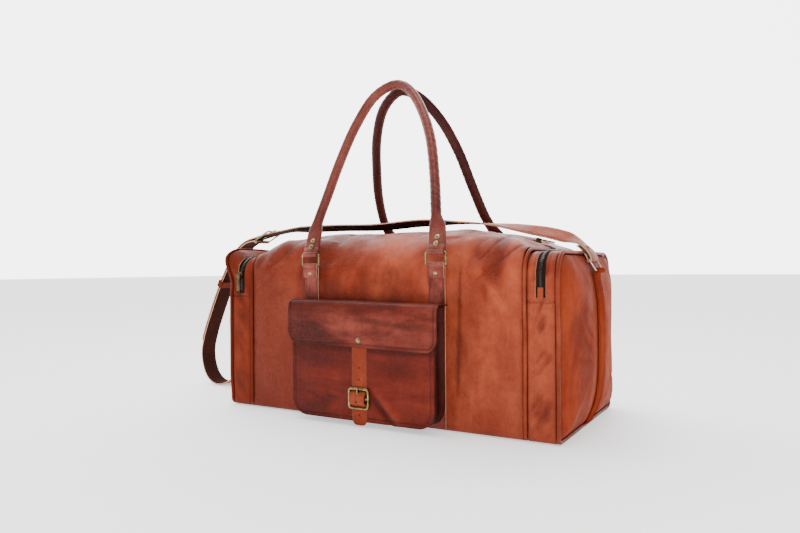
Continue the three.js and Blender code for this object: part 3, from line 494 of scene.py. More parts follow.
def resample(points, count, closed=False):
    points = np.asarray(points, float)
    if closed:
        points = np.vstack([points, points[:1]])
    steps = lengths(points)
    places = np.linspace(0, steps[-1], count + 1 if closed else count)
    even = np.stack([np.interp(places, steps, points[:, k]) for k in range(points.shape[1])], 1)
    return even[:-1] if closed else even


def smooth_curve(points, count):
    """Centripetal curve through chosen points, at even steps."""
    p = np.asarray(points, float)
    p = np.vstack([2 * p[0] - p[1], p, 2 * p[-1] - p[-2]])
    out = []
    for i in range(1, len(p) - 2):
        quad = p[i - 1 : i + 3]
        knots = [0.0]
        for a, b in zip(quad, quad[1:]):
            knots.append(knots[-1] + max(np.linalg.norm(b - a), 1e-6) ** 0.5)
        for t in np.linspace(knots[1], knots[2], 24, endpoint=False):
            level = list(quad)
            for spans in (((0, 1), (1, 2), (2, 3)), ((0, 2), (1, 3)), ((1, 2),)):
                level = [
                    (a * (knots[high] - t) + b * (t - knots[low])) / (knots[high] - knots[low])
                    for (low, high), a, b in zip(spans, level, level[1:])
                ]
            out.append(level[0])
    out.append(p[-2])
    return resample(out, count)


def sweep(path, across, section, closed=False):
    """Rings of a section carried along a flat path. section(share) gives rows of (out, across)."""
    path = np.asarray(path, float)
    count = len(path)
    if closed:
        before, after = np.roll(path, 1, 0), np.roll(path, -1, 0)
    else:
        before = np.vstack([path[:1] * 2 - path[1:2], path[:-1]])
        after = np.vstack([path[1:], path[-1:] * 2 - path[-2:-1]])
    arriving, leaving = unit(path - before), unit(after - path)
    tangent = unit(arriving + leaving)
    mitre = 1 / np.clip((tangent * leaving).sum(1), 0.3, 1)
    normal = np.cross(across, tangent)
    rings = []
    for i in range(count):
        s = np.asarray(section(i / max(count - 1, 1)), float)
        rings.append(path[i] + s[:, :1] * mitre[i] * normal[i] + s[:, 1:] * across)
    return np.array(rings)


def tube_faces(rows, cols, closed):
    faces = grid_faces(rows, cols, closed, True)
    if not closed:
        faces.append(tuple(reversed(range(cols))))
        faces.append(tuple(range((rows - 1) * cols, rows * cols)))
    return faces


def fix_outside(obj):
    """Turns every face outwards."""
    work = bmesh.new()
    work.from_mesh(obj.data)
    bmesh.ops.recalc_face_normals(work, faces=work.faces)
    work.to_mesh(obj.data)
    work.free()
    return obj


def moved_by(place, points):
    """Points put in place by a matrix in millimetres."""
    return np.array([place @ Vector(p) for p in points.reshape(-1, 3)])


def circle(radius, sides):
    turn = (np.arange(sides) + 0.5) / sides * 2 * np.pi
    return np.stack([radius * np.cos(turn), radius * np.sin(turn)], 1)


def lengths(path):
    """Distance from the start of a path to each of its points."""
    return np.concatenate([[0], np.cumsum(np.linalg.norm(np.diff(path, axis=0), axis=1))])


def strap_section(thick, wide, corner=0.9):
    """Rounded rectangle with a few points across each face; kinds: 0 face side, 1 edge, 2 flesh side."""
    t, w = thick / 2, wide / 2
    spans = np.linspace(-1, 1, 7)
    top = [(t - 0.12 * (s * s), s * (w - corner)) for s in spans]
    right = [(t - 0.35 * corner, w - 0.25 * corner), (0.0, w), (-t + 0.35 * corner, w - 0.25 * corner)]
    bottom = [(-t, s * (w - corner)) for s in spans[::-1]]
    left = [(-a, -b) for a, b in right]
    kinds = [0] * 7 + [1] * 2 + [2] * 8 + [1] * 2 + [0]
    return np.array(top + right + bottom + left), kinds


def ribbon(name, path, across, wide, thick, materials, body, tip=None, root=None, twist=None, **kwargs):
    """A flat strap. tip and root round its last and first millimetres, twist turns it."""
    length = lengths(path)[-1]

    def section(share):
        points, _ = strap_section(thick, wide)
        if twist is not None:
            angle = twist[int(round(share * (len(path) - 1)))]
            c, s = math.cos(angle), math.sin(angle)
            points = np.stack([points[:, 0] * c + points[:, 1] * s, points[:, 1] * c - points[:, 0] * s], 1)
        for reach, left in ((tip, (1 - share) * length), (root, share * length)):
            if reach and left < reach:
                squeeze = math.sqrt(max(0.0, 1 - (1 - left / reach) ** 2))
                points = points.copy()
                points[:, 1] *= 0.42 + 0.58 * squeeze
        return points

    rings = sweep(path, across, section)
    _, kinds = strap_section(thick, wide)
    rows, cols = rings.shape[:2]
    faces = tube_faces(rows, cols, False)
    all_kinds = [kinds[j] for _ in range(rows - 1) for j in range(cols)] + [1, 1]
    wear_and_shade = np.zeros((rows, cols))
    wear_and_shade[:, [0, 6, 10, 16]] = 0.55
    obj = add_mesh(name, rings, faces, materials, body, wear_and_shade=wear_and_shade, kinds=all_kinds, **kwargs)
    return fix_outside(obj)


# ---------- repeatable unevenness ----------


def lattice(ix, iy, iz, seed):
    h = (ix * 374761393 + iy * 668265263 + iz * 2147483647 + seed * 974634777) & 0xFFFFFFFF
    h = ((h ^ (h >> 13)) * 1274126177) & 0xFFFFFFFF
    return ((h ^ (h >> 16)) & 0xFFFF) / 32767.5 - 1.0


def rough(points, size, seed=0, octaves=1):
    """Smooth noise from -1 to 1; size is the width of its bumps along x, y and z, in millimetres."""
    total = np.zeros(points.shape[:-1])
    weight = 1.0
    for octave in range(octaves):
        p = points / np.asarray(size, float) * 2**octave
        base = np.floor(p).astype(np.int64)
        f = p - base
        f = f * f * (3 - 2 * f)
        value = np.zeros(points.shape[:-1])
        for dx in (0, 1):
            for dy in (0, 1):
                for dz in (0, 1):
                    w = (f[..., 0] if dx else 1 - f[..., 0]) * (f[..., 1] if dy else 1 - f[..., 1])
                    w = w * (f[..., 2] if dz else 1 - f[..., 2])
                    corner = lattice(base[..., 0] + dx, base[..., 1] + dy, base[..., 2] + dz, seed + octave)
                    value += w * corner
        total += value * weight
        weight *= 0.5
    return total


def creases(points, size, seed):
    """Thin valleys along the zero lines of a noise, from 0 to 1."""
    return hump(rough(points, size, seed), 0, 0.09)


def hump(value, centre, width):
    """1 at the centre, falling to nothing in about two widths."""
    return np.exp(-(((value - centre) / width) ** 2))


def ease(value, low, high):
    t = np.clip((value - low) / (high - low), 0, 1)
    return t * t * (3 - 2 * t)


# ---------- outlines ----------


def arc(cu, cv, radius, start, stop, steps):
    turn = np.radians(np.linspace(start, stop, steps + 1))
    return np.stack([cu + radius * np.cos(turn), cv + radius * np.sin(turn)], 1)


def arch(half, low, high, top, bottom, steps=10):
    return np.vstack(
        [
            arc(half - bottom, low + bottom, bottom, -90, 0, steps),
            arc(half - top, high - top, top, 0, 90, steps),
            arc(top - half, high - top, top, 90, 180, steps),
            arc(bottom - half, low + bottom, bottom, 180, 270, steps),
        ]
    )


def crown(x):
    return CROWN_HEIGHT - CROWN_RADIUS + np.sqrt(CROWN_RADIUS**2 - np.asarray(x, float) ** 2)


def wrap_line(x, count):
    """The body's outline at x, from the front edge of the zip round under the bag to its rear edge."""
    fullness = 1 - (x / SEAM_X) ** 2
    width = TOP_CORNER + (HALF - TOP_CORNER) * fullness
    drop = TOP_CORNER + (DOME_DROP - TOP_CORNER) * fullness
    power = 2 + 0.3 * fullness
    start = MAIN_SLOT / 2
    y = start + (HALF - start) * np.sin(np.linspace(0, np.pi / 2, 160))
    share = np.clip((y - (HALF - width)) / width, 0, None)
    z = crown(x) - drop + drop * np.clip(1 - share**power, 0, None) ** (1 / power)
    shoulder = np.stack([-y, z], 1)
    corner = arc(-(HALF - BOTTOM_CORNER), BOTTOM_CORNER, BOTTOM_CORNER, 180, 270, 10)
    side = np.vstack([shoulder, corner])
    return resample(np.vstack([side, (side * [-1, 1])[::-1]]), count)


def lobe(points):
    """The upper front corner of the left end pocket stands up and out to the left, over a pinch below it."""
    x, y, z = points[..., 0], points[..., 1], points[..., 2]
    side = ease(-x, 280, 302) * ease(-y, 30, 110)
    swell = 18 * hump(z, 256, 19) - 3.0 * hump(z, 220, 12) + 3
    rise = 15 * ease(-x, 282, 300) * ease(z, 215, 266) * (0.35 + 0.65 * ease(-y, -70, 100))
    moved = points.copy()
    moved[..., 0] -= side * swell * ease(z, 10, 60)
    moved[..., 2] += rise
    return moved


# ---------- stitching and rivets ----------

# Along a stitch and across it, as shares of its length and radius
STITCH_RINGS = [(-0.5, 0.25), (-0.32, 0.9), (0.0, 1.0), (0.32, 0.9), (0.5, 0.25)]


def stitches(name, lines, body, material, pitch=4.6, length=3.3, radius=0.5):
    """Rows of thread: each line is (points, outward direction for each point or for all)."""
    verts, faces = [], []
    sides = 6
    turn = np.arange(sides) / sides * 2 * np.pi
    for points, outward in lines:
        points = np.asarray(points, float)
        outward = np.broadcast_to(np.asarray(outward, float), points.shape)
        steps = lengths(points)
        for place in np.arange(pitch / 2, steps[-1] - pitch / 4, pitch):
            centre = point_at(points, steps, place)
            out = unit(point_at(outward, steps, place))
            way = unit(point_at(points, steps, place + 1) - point_at(points, steps, place - 1))
            side = np.cross(out, way)
            base = len(verts)
            for along, size in STITCH_RINGS:
                sink = -0.55 * radius * (abs(along) > 0.4)
                for a in turn:
                    rise = math.sin(a) * radius * size * 0.8 + sink
                    offset = side * math.cos(a) * radius * size + out * rise
                    verts.append(centre + way * along * length + offset)
            for r in range(len(STITCH_RINGS) - 1):
                for k in range(sides):
                    a, b = base + r * sides + k, base + r * sides + (k + 1) % sides
                    faces.append((a, b, b + sides, a + sides))
            faces.append(tuple(base + k for k in reversed(range(sides))))
            last = base + (len(STITCH_RINGS) - 1) * sides
            faces.append(tuple(last + k for k in range(sides)))
    return add_mesh(name, np.array(verts), faces, material, body)


def rivet(name, foot, outward, body, replaces=(), radius=4.4):
    """A capped rivet: a flat skirt, a domed cap and a shallow dimple, standing on its foot point."""
    shares = [(0, -0.1), (0.98, -0.1), (1, 0.25), (0.96, 0.6), (0.8, 0.95)]
    shares += [(0.74, 1.0), (0.66, 1.35), (0.4, 1.75), (0.15, 1.85), (0, 1.8)]
    profile = [(radius * share, height) for share, height in shares]
    out = unit(np.asarray(outward, float))
    side = unit(np.cross(out, Z_AXIS if abs(out[2]) < 0.9 else X_AXIS))
    other = np.cross(out, side)
    sides = 32
    turn = np.arange(sides) / sides * 2 * np.pi
    foot = np.asarray(foot, float)
    verts = [foot + out * profile[0][1]]
    for r, h in profile[1:-1]:
        verts += [foot + side * r * math.cos(a) + other * r * math.sin(a) + out * h for a in turn]
    verts.append(foot + out * profile[-1][1])
    rings = len(profile) - 2
    faces = [(0, 1 + (k + 1) % sides, 1 + k) for k in range(sides)]
    for r in range(rings - 1):
        for k in range(sides):
            a, b = 1 + r * sides + k, 1 + r * sides + (k + 1) % sides
            faces.append((a, b, b + sides, a + sides))
    top = 1 + (rings - 1) * sides
    faces += [(top + k, top + (k + 1) % sides, len(verts) - 1) for k in range(sides)]
    obj = add_mesh(name, np.array(verts), faces, BRASS, body, replaces=replaces, slot="brass")
    return fix_outside(obj)


def node_centre(node):
    low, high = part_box(node)
    return (np.array(low) + np.array(high)) / 2 / MM


def refined(node, body, material, width):
    """A finished copy of a small CAD piece: the same form with its edges rounded."""
    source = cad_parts[node]
    mesh = source.data.copy()
    mesh.materials.clear()
    obj = bpy.data.objects.new(node + "_finished", mesh)
    bpy.context.scene.collection.objects.link(obj)
    mesh.materials.append(material)
    weld = obj.modifiers.new("weld", "WELD")
    weld.merge_threshold = 0.02 * MM
    apply_modifiers(obj)
    bevelled(obj, width)
    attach(obj, body)
    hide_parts(node)
    return obj


# ---------- main body ----------


def body_leather():
    rows, cols = 150, 300
    stations = SEAM_X * np.sin(np.linspace(-1, 1, rows) * 1.25) / math.sin(1.25)
    grid = np.zeros((rows, cols, 3))
    for i, x in enumerate(stations):
        grid[i, :, 0] = x
        grid[i, :, 1:] = wrap_line(x, cols)
    normals = -grid_normals(grid)
    x, y, z = grid[..., 0], grid[..., 1], grid[..., 2]
    high = ease(z, 190, 260)
    upright = ease(z, 18, 60) * (1 - ease(z, 225, 275))
    fold = rough(grid, (52, 400, 240), 3, 3) * 2.2 * upright
    hollow = rough(grid, (120, 300, 110), 11) * 3.0 * (0.35 + 0.65 * high)
    pucker = rough(grid, (40, 34, 56), 21, 2) * 2.6 * ease(np.abs(x), 150, 240) * ease(z, 150, 240)
    drape = (rough(grid, (60, 90, 40), 8, 3) * 2.2 - 0.8) * high
    slanted = grid.copy()
    slanted[..., 2] += 0.8 * x * np.sign(y)
    lines = creases(grid, (58, 200, 130), 31) * rough(grid, (90, 200, 60), 5).clip(0) * -2.2
    lines -= creases(slanted, (130, 200, 24), 37) * ease(np.abs(x), 140, 225) * ease(z, 130, 230) * 1.5
    front_panel = (y < -60) * ease(z, 30, 70) * (1 - ease(z, 236, 262))
    lines -= 1.6 * hump(x - 153, 0.03 * (z - 150), 3.5) * front_panel
    push = fold + hollow + pucker + drape + lines
    # painted light on fold tops and painted shade in creases, with random tone
    painted_shading_and_tone = np.clip((fold * 0.8 + pucker + drape * 0.8 + lines * 1.6) / 3.0, -1, 1) * ease(z, 4, 40)
    turned = np.stack([x * 0.8 + z * 0.6, y, z * 0.8 - x * 0.6], -1)
    painted_shading_and_tone += 0.32 * rough(turned, (16, 110, 70), 19, 3) + 0.22 * rough(grid, (14, 60, 110), 23, 3) + 0.08
    # painted highlight on a diagonal fold at the upper right, painted shade in a crease on the front right,
    # painted light over the upper front middle and painted shade in the dip beside the left bands
    painted_shading_and_tone += 0.8 * hump(turned[..., 0], 292, 7) * hump(turned[..., 2], 42, 36)
    painted_shading_and_tone -= 0.25 * hump(x, 156, 14) * (y < -60) * ease(z, 30, 80) * (1 - ease(z, 235, 262))
    painted_shading_and_tone += 0.4 * hump(x, 15, 75) * ease(z, 180, 235) * (y < 0)
    painted_shading_and_tone -= 0.3 * hump(np.abs(x + HANDLE_X), 24, 9) * ease(z, 130, 200) * (1 - ease(z, 240, 265))
    # the leather dips beside each band and lies flat under it, and under the pocket
    for centre in (-HANDLE_X, HANDLE_X):
        beside = hump(np.abs(x - centre), 26, 10) * ease(z, 120, 225)
        push -= 1.6 * beside * (np.abs(y) > 60)
        under = 1 - ease(np.abs(x - centre), 15, 30)
        push = push * (1 - under * (np.abs(y) > 100)) - 0.25 * under * (np.abs(y) > 100)
    under_pocket = (1 - ease(np.abs(x), 138, 168)) * (1 - ease(z, 194, 214)) * (y < -100)
    push = push * (1 - under_pocket) - 0.3 * under_pocket
    push *= ease(z, 0.2, 16)
    push *= ease(SEAM_X - np.abs(x), 0, 22)
    push *= ease(np.abs(y), 15, 34) * 0.85 + 0.15
    # tucked into the end seams, with small gathers along them
    near = np.exp(-(SEAM_X - np.abs(x)) / 3.5)
    push -= 1.8 * near * ease(z, 4, 20)
    gather = hump(SEAM_X - np.abs(x), 9, 9) * ease(z, 20, 60)
    push += gather * rough(grid, (60, 15, 15), 44) * 0.9
    push += 0.5 * hump(np.abs(y), 17.5, 2.2) * high
    push = np.minimum(push, 3.4)
    shoulder = ease(np.abs(x), 20, 150) * (1 - ease(np.abs(x), 200, 246)) * (0.8 - 0.2 * np.sign(x))
    push += 12 * shoulder * ease(z, 256, 282) * ease(np.abs(y), 20, 50)
    grid = grid + normals * push[..., None]
    grid[..., 2] = np.maximum(grid[..., 2], 0)
    # darker where the leather tucks into the end seams and beside the zip slot (edge wear and painted shade),
    # darker towards the foot, and painted shade on the strip behind the pocket top, under the flap
    wear_and_shade = 0.55 * np.exp(-(SEAM_X - np.abs(x)) / 5) + 0.5 * np.exp(-(np.abs(y) - 15) / 2.5) * high
    wear_and_shade += 0.4 * (1 - ease(z, 0, 14)) + 0.35 * under_pocket * ease(z, 186, 196)
    shell("body_leather", grid[:, ::-1], 2.2, TAN, "bag", wear_and_shade=wear_and_shade[:, ::-1], painted_shading_and_tone=painted_shading_and_tone[:, ::-1],
          replaces=["body_wrap"], slot="tan_leather")
    return stations, grid


stations, body_grid = body_leather()


def crown_line(reach, lift, count=200):
    x = np.linspace(-reach, reach, count)
    return np.stack([x, np.zeros(count), crown(x) + lift], 1)


def zip_tape(name, path, across, wide, body, node):
    """Cloth tape with a raised cord on each side of the coil."""
    spans = np.linspace(-1, 1, 15)
    rise = 0.35 * hump(np.abs(spans) * wide / 2, 3.6, 0.7)
    section = [(0.5 + r, s * wide / 2) for s, r in zip(spans, rise)]
    section += [(-0.5, s * wide / 2) for s in spans[::-1]]
    rings = sweep(path, across, lambda share: section)
    faces = tube_faces(*rings.shape[:2], False)
    obj = add_mesh(name, rings, faces, ZIP_TAPE, body, replaces=[node], slot="zip_cloth")
    return fix_outside(obj)


def zip_coil(name, path, across, body, node, pitch=1.7):
    """Two rows of interlocking teeth along a path on the tape's face."""
    path = resample(path, 600)
    steps = lengths(path)
    corners = np.array([[a, b, c] for a in (-0.5, 0.5) for b in (-0.5, 0.5) for c in (-0.5, 0.5)])
    box_faces = [(0, 1, 3, 2), (4, 6, 7, 5), (0, 4, 5, 1), (2, 3, 7, 6), (0, 2, 6, 4), (1, 5, 7, 3)]
    verts, faces = [], []
    for k, place in enumerate(np.arange(pitch, steps[-1] - pitch, pitch)):
        centre = point_at(path, steps, place)
        way = unit(point_at(path, steps, place + 0.5) - centre)
        out = np.cross(across, way)
        side = 1 if k % 2 else -1
        middle = centre + across * side * 0.95 + out * 0.25
        base = len(verts)
        for a, b, c in corners:
            taper = 0.72 if c > 0 else 1.0
            verts.append(middle + way * a * 1.15 * taper + across * b * 2.9 * taper + out * c * 1.3)
        faces += [tuple(base + v for v in f) for f in box_faces]
    obj = add_mesh(name, np.array(verts), faces, ZIP_COIL, body, [node], "zip_teeth", smooth=False)
    return fix_outside(obj)


zip_tape("main_zip_tape_cloth", crown_line(SEAM_X - 1, -1.3), Y_AXIS, MAIN_SLOT - 0.8, "bag", "main_zip_tape")
zip_coil("main_zip_coil", crown_line(SEAM_X - 6, 0.1, 400), Y_AXIS, "bag", "main_zip_teeth")


def on_body(y_side, reach):
    """A line on the crown beside the zip, just on the leather."""
    x = np.linspace(-reach, reach, 240)
    rows = np.argmin(np.abs(stations[None] - x[:, None]), 1)
    out = []
    for row in rows:
        line = body_grid[row]
        near = line[line[:, 2] > 150]
        out.append(near[np.argmin(np.abs(near[:, 1] - y_side))])
    return np.array(out)


crown_stitch = [(on_body(s * 19.5, SEAM_X - 8) + [0, 0, 0.25], [0, s * 0.1, 1]) for s in (-1, 1)]
stitches("main_zip_stitching", crown_stitch, "bag", THREAD_TAN)


# ---------- end pockets ----------


def end_outline(inset=0.0, count=260):
    loop = arch(HALF - inset, inset, END_HEIGHT - inset, TOP_CORNER - inset, BOTTOM_CORNER - inset)
    return resample(loop, count, True)


def zip_route(inset, low, count=260):
    """Up the front, over the top and down the rear, as (y, z)."""
    half, high, corner = HALF - inset, END_HEIGHT - inset, TOP_CORNER - inset
    front = np.array([[-half, low], [-half, high - corner - 0.5]])
    over_front = arc(-(half - corner), high - corner, corner, 180, 90, 14)
    over_rear = arc(half - corner, high - corner, corner, 90, 0, 14)
    rear = np.array([[half, high - corner - 0.5], [half, low]])
    return resample(np.vstack([front, over_front, over_rear, rear]), count)


def at_x(x, line):
    return np.stack([np.full(len(line), float(x)), line[:, 0], line[:, 1]], 1)


def gusset(side, where):
    slot_low, slot_high = END_SLOT_X - END_SLOT / 2, END_SLOT_X + END_SLOT / 2
    beside_slot = np.linspace(GUSSET_IN, slot_low, 9), np.linspace(slot_high, GUSSET_OUT, 9)
    columns = np.concatenate([beside_slot[0], np.linspace(slot_low, slot_high, 8)[1:-1], beside_slot[1]])
    loop = end_outline(0, 360)
    grid = np.zeros((len(columns), len(loop), 3))
    for i, x in enumerate(columns):
        grid[i] = at_x(x, loop)
    tangent = np.roll(loop, -1, 0) - np.roll(loop, 1, 0)
    outward = unit(np.stack([np.zeros(len(loop)), tangent[:, 1], -tangent[:, 0]], 1))
    x, y, z = grid[..., 0], grid[..., 1], grid[..., 2]
    middle = 1 - ((x - END_SLOT_X) / (GUSSET_WIDTH / 2)) ** 2
    low_part = ease(z, 12, 60) * (1 - ease(z, 170, 198))
    push = middle * (0.6 + 1.1 * rough(grid + [0, 0, side * 400], (60, 80, 70), 15)) * low_part
    crumple = rough(grid + [side * 90, 0, 0], (34, 40, 40), 17, 3) * ease(z, 14, 50) * middle
    push += crumple * 0.9
    across = np.stack([x + 0.7 * z, y, z * 0.7 - x], -1)
    # painted light and shade over the crumples and creases
    painted_shading_and_tone = np.clip(crumple * 0.9 + rough(across, (60, 60, 16), 18, 3) * 0.8 * middle + 0.1, -1, 1)
    seam = np.minimum(x - GUSSET_IN, GUSSET_OUT - x)
    push -= 1.5 * np.exp(-seam / 2.2) * ease(z, 3, 14)
    lip = hump(np.abs(x - END_SLOT_X), END_SLOT / 2, 1.8) * ease(z, 200, 206)
    push += 0.45 * lip
    cross = hump(z, CROSS_SEAM, 1.2) * (np.abs(y) > 100)
    push -= 0.9 * cross
    grid = grid + outward[None] * push[..., None]
    grid[..., 2] = np.maximum(grid[..., 2], 0)
    # darker along the seams and the cross seam (edge wear and painted shade) and towards the foot
    wear_and_shade = 0.7 * np.exp(-seam / 2.5) + 0.6 * hump(z, CROSS_SEAM, 1.5) * (np.abs(y) > 100)
    wear_and_shade += 0.35 * (1 - ease(z, 0, 12))
    keep = np.ones((len(columns), len(loop)), bool)
    centre_z = (z + np.roll(z, -1, 1)) / 2
    inside = (columns[:-1] + columns[1:]) / 2
    for i, mid in enumerate(inside):
        if slot_low < mid < slot_high:
            keep[i] = centre_z[i] < END_ZIP_LOW
    grid[..., 0] *= side
    if side < 0:
        grid = lobe(grid)
    outer = grid if side < 0 else grid[:, ::-1]
    weights = wear_and_shade if side < 0 else wear_and_shade[:, ::-1]
    kept = keep if side < 0 else np.roll(keep[:, ::-1], -1, 1)
    shading_and_tone_out = painted_shading_and_tone if side < 0 else painted_shading_and_tone[:, ::-1]
    # the left end's gusset takes the darker copy of the tan leather: painted shade
    material = TAN if side > 0 else TAN_SHADED_LEFT
    shell(f"gusset_leather_{where}", outer, 2.2, material, "bag", True, kept, weights, RAW, shading_and_tone_out,
          replaces=[f"gusset_{where}"], slot="tan_leather")


def place_side(points, side):
    moved = np.array(points, float)
    moved[..., 0] *= side
    return lobe(moved) if side < 0 else moved


def piping(name, x, half, high, side, node, material):
    loop = arch(half, PIPING + GAP, high, TOP_CORNER, BOTTOM_CORNER - 2, 12)
    path = at_x(x, resample(loop, 300, True))
    rings = sweep(path, X_AXIS, lambda share: circle(PIPING, 12), True)
    wobble = rough(rings, (40, 30, 30), 51)[..., None] * [0.5, 0.25, 0.1]
    rings = rings + wobble
    rings[..., 2] = np.maximum(rings[..., 2], 0.2)
    rings = place_side(rings, side)
    wear_and_shade = 0.35 + 0.3 * rough(rings, (30, 30, 30), 9)
    obj = add_mesh(name, rings, tube_faces(*rings.shape[:2], True), material, "bag", replaces=[node],
                   slot="tan_leather", wear_and_shade=wear_and_shade)
    return fix_outside(obj)


def bulge(scale):
    return PANEL_X + WALL / 2 + END_BULGE * (1 - scale**3.6)


def panel_x(z):
    middle = END_HEIGHT / 2
    return bulge(np.clip(np.abs(z - middle) / (middle - PANEL_LOW), 0, 1))


def end_panel(side, where):
    corners = TOP_CORNER - PANEL_MARGIN, BOTTOM_CORNER - PANEL_MARGIN
    rim = resample(arch(HALF - PANEL_MARGIN, PANEL_LOW, END_HEIGHT - PANEL_MARGIN, *corners), 220, True)
    scales = np.concatenate([np.linspace(1, 0.86, 12), np.linspace(0.84, 0.03, 34)])
    middle = END_HEIGHT / 2
    grid = np.zeros((len(scales), len(rim), 3))
    for i, s in enumerate(scales):
        grid[i, :, 0] = bulge(s)
        grid[i, :, 1] = rim[:, 0] * s
        grid[i, :, 2] = middle + (rim[:, 1] - middle) * s
    x, y, z = grid[..., 0], grid[..., 1], grid[..., 2]
    free = ease(np.abs(y), 21, 48) * (1 - scales[:, None] ** 10)
    slack = rough(grid + [0, side * 70, 0], (200, 60, 90), 61, 2) * 2.1
    fold = creases(grid, (200, 75, 46), 63) * rough(grid, (200, 90, 60), 64).clip(0) * -2.6
    slant = grid.copy()
    slant[..., 2] += 0.7 * y
    diagonal = hump(rough(slant, (200, 150, 24), 66), 0, 0.12) * hump(z, 150, 34)
    diagonal = diagonal * hump(y + 88, 0, 42) * -2.2
    # painted light and shade over the slack, the folds and the diagonal crease
    painted_shading_and_tone = np.clip((slack * 0.3 + fold * 0.5 + diagonal * 0.8) * free + 0.1, -0.45, 1)
    push = (slack + fold + diagonal) * free - 0.15 * (1 - free)
    push -= 1.2 * np.exp(-(1 - scales[:, None]) / 0.012)
    grid[..., 0] += np.where(np.abs(y) < 24, np.minimum(push, -0.1), push)
    # darker round the rim and beside the zip slot: edge wear and painted shade
    wear_and_shade = 0.75 * np.exp(-(1 - scales[:, None]) / 0.02)
    wear_and_shade = wear_and_shade + 0.4 * hump(np.abs(y), 20.5, 2.0) * (x > 304)
    wear_and_shade = np.broadcast_to(wear_and_shade, x.shape)
    grid = place_side(grid, side)
    outer = grid if side > 0 else grid[:, ::-1]
    weights = wear_and_shade if side > 0 else wear_and_shade[:, ::-1]
    shading_and_tone_out = painted_shading_and_tone if side > 0 else painted_shading_and_tone[:, ::-1]
    normals = grid_normals(outer, wrap_cols=True)
    if (normals[20, :, 0] * side).mean() < 0:
        outer, weights, shading_and_tone_out = outer[:, ::-1], weights[:, ::-1], shading_and_tone_out[:, ::-1]
    # the left end panel takes the darker copy of the tan leather: painted shade
    skin = TAN_END if side > 0 else TAN_SHADED_LEFT
    obj = shell(f"end_panel_leather_{where}", outer, 2.0, skin, "bag", True, None, weights, painted_shading_and_tone=shading_and_tone_out,
                replaces=[f"end_panel_{where}"], slot="tan_leather")
    work = bmesh.new()
    work.from_mesh(obj.data)
    middle_edges = [e for e in work.edges if e.is_boundary or len(e.link_faces) == 1]
    bmesh.ops.holes_fill(work, edges=middle_edges)
    work.to_mesh(obj.data)
    work.free()


STRIP_RING_X = float(panel_x(226)) + GAP + LOOP_OUTER + 0.6
STRIP_RING_Z = 240


def end_strip(side, where):
    levels = np.array([5, 12, 24, 42, 70, 110, 160, 195, 214, 226])
    path = [(float(panel_x(z)) + GAP + 1.15, z) for z in levels]
    turn = arc(STRIP_RING_X, STRIP_RING_Z, LOOP_INNER + 1.25, 185, -80, 26)
    route = smooth_curve(np.vstack([path, turn[::4], turn[-1:]]), 190)
    points = np.stack([route[:, 0] * side, np.zeros(len(route)), route[:, 1]], 1)
    ribbon(f"end_strip_leather_{where}", points, -Y_AXIS * side, STRAP_WIDTH, 2.4, [TAN_STRIP] * 3, "bag",
           replaces=[f"end_strip_{where}"], slot="strap_leather")
    low = route[:, 1] < 208
    surface = np.stack([(route[low, 0] + 1.25) * side, np.zeros(low.sum()), route[low, 1]], 1)
    surface = surface[surface[:, 2] < 206]
    lines = [(surface + [0, s * 15.5, 0], [side, 0, 0]) for s in (-1, 1)]
    # a square of stitches with both its diagonals holds the fold down
    left, right, low_z, high_z = -13, 13, 207, 226
    box = [(left, low_z), (right, low_z), (right, high_z), (left, high_z), (left, low_z), (right, high_z)]
    for corners in (box, [(right, low_z), (left, high_z)]):
        row = [[(float(panel_x(z)) + GAP + WALL + 0.75) * side, y, z] for y, z in corners]
        lines.append((np.array(row), [side, 0, 0]))
    stitches(f"end_strip_stitching_{where}", lines, "bag", THREAD_DARK, radius=0.45)


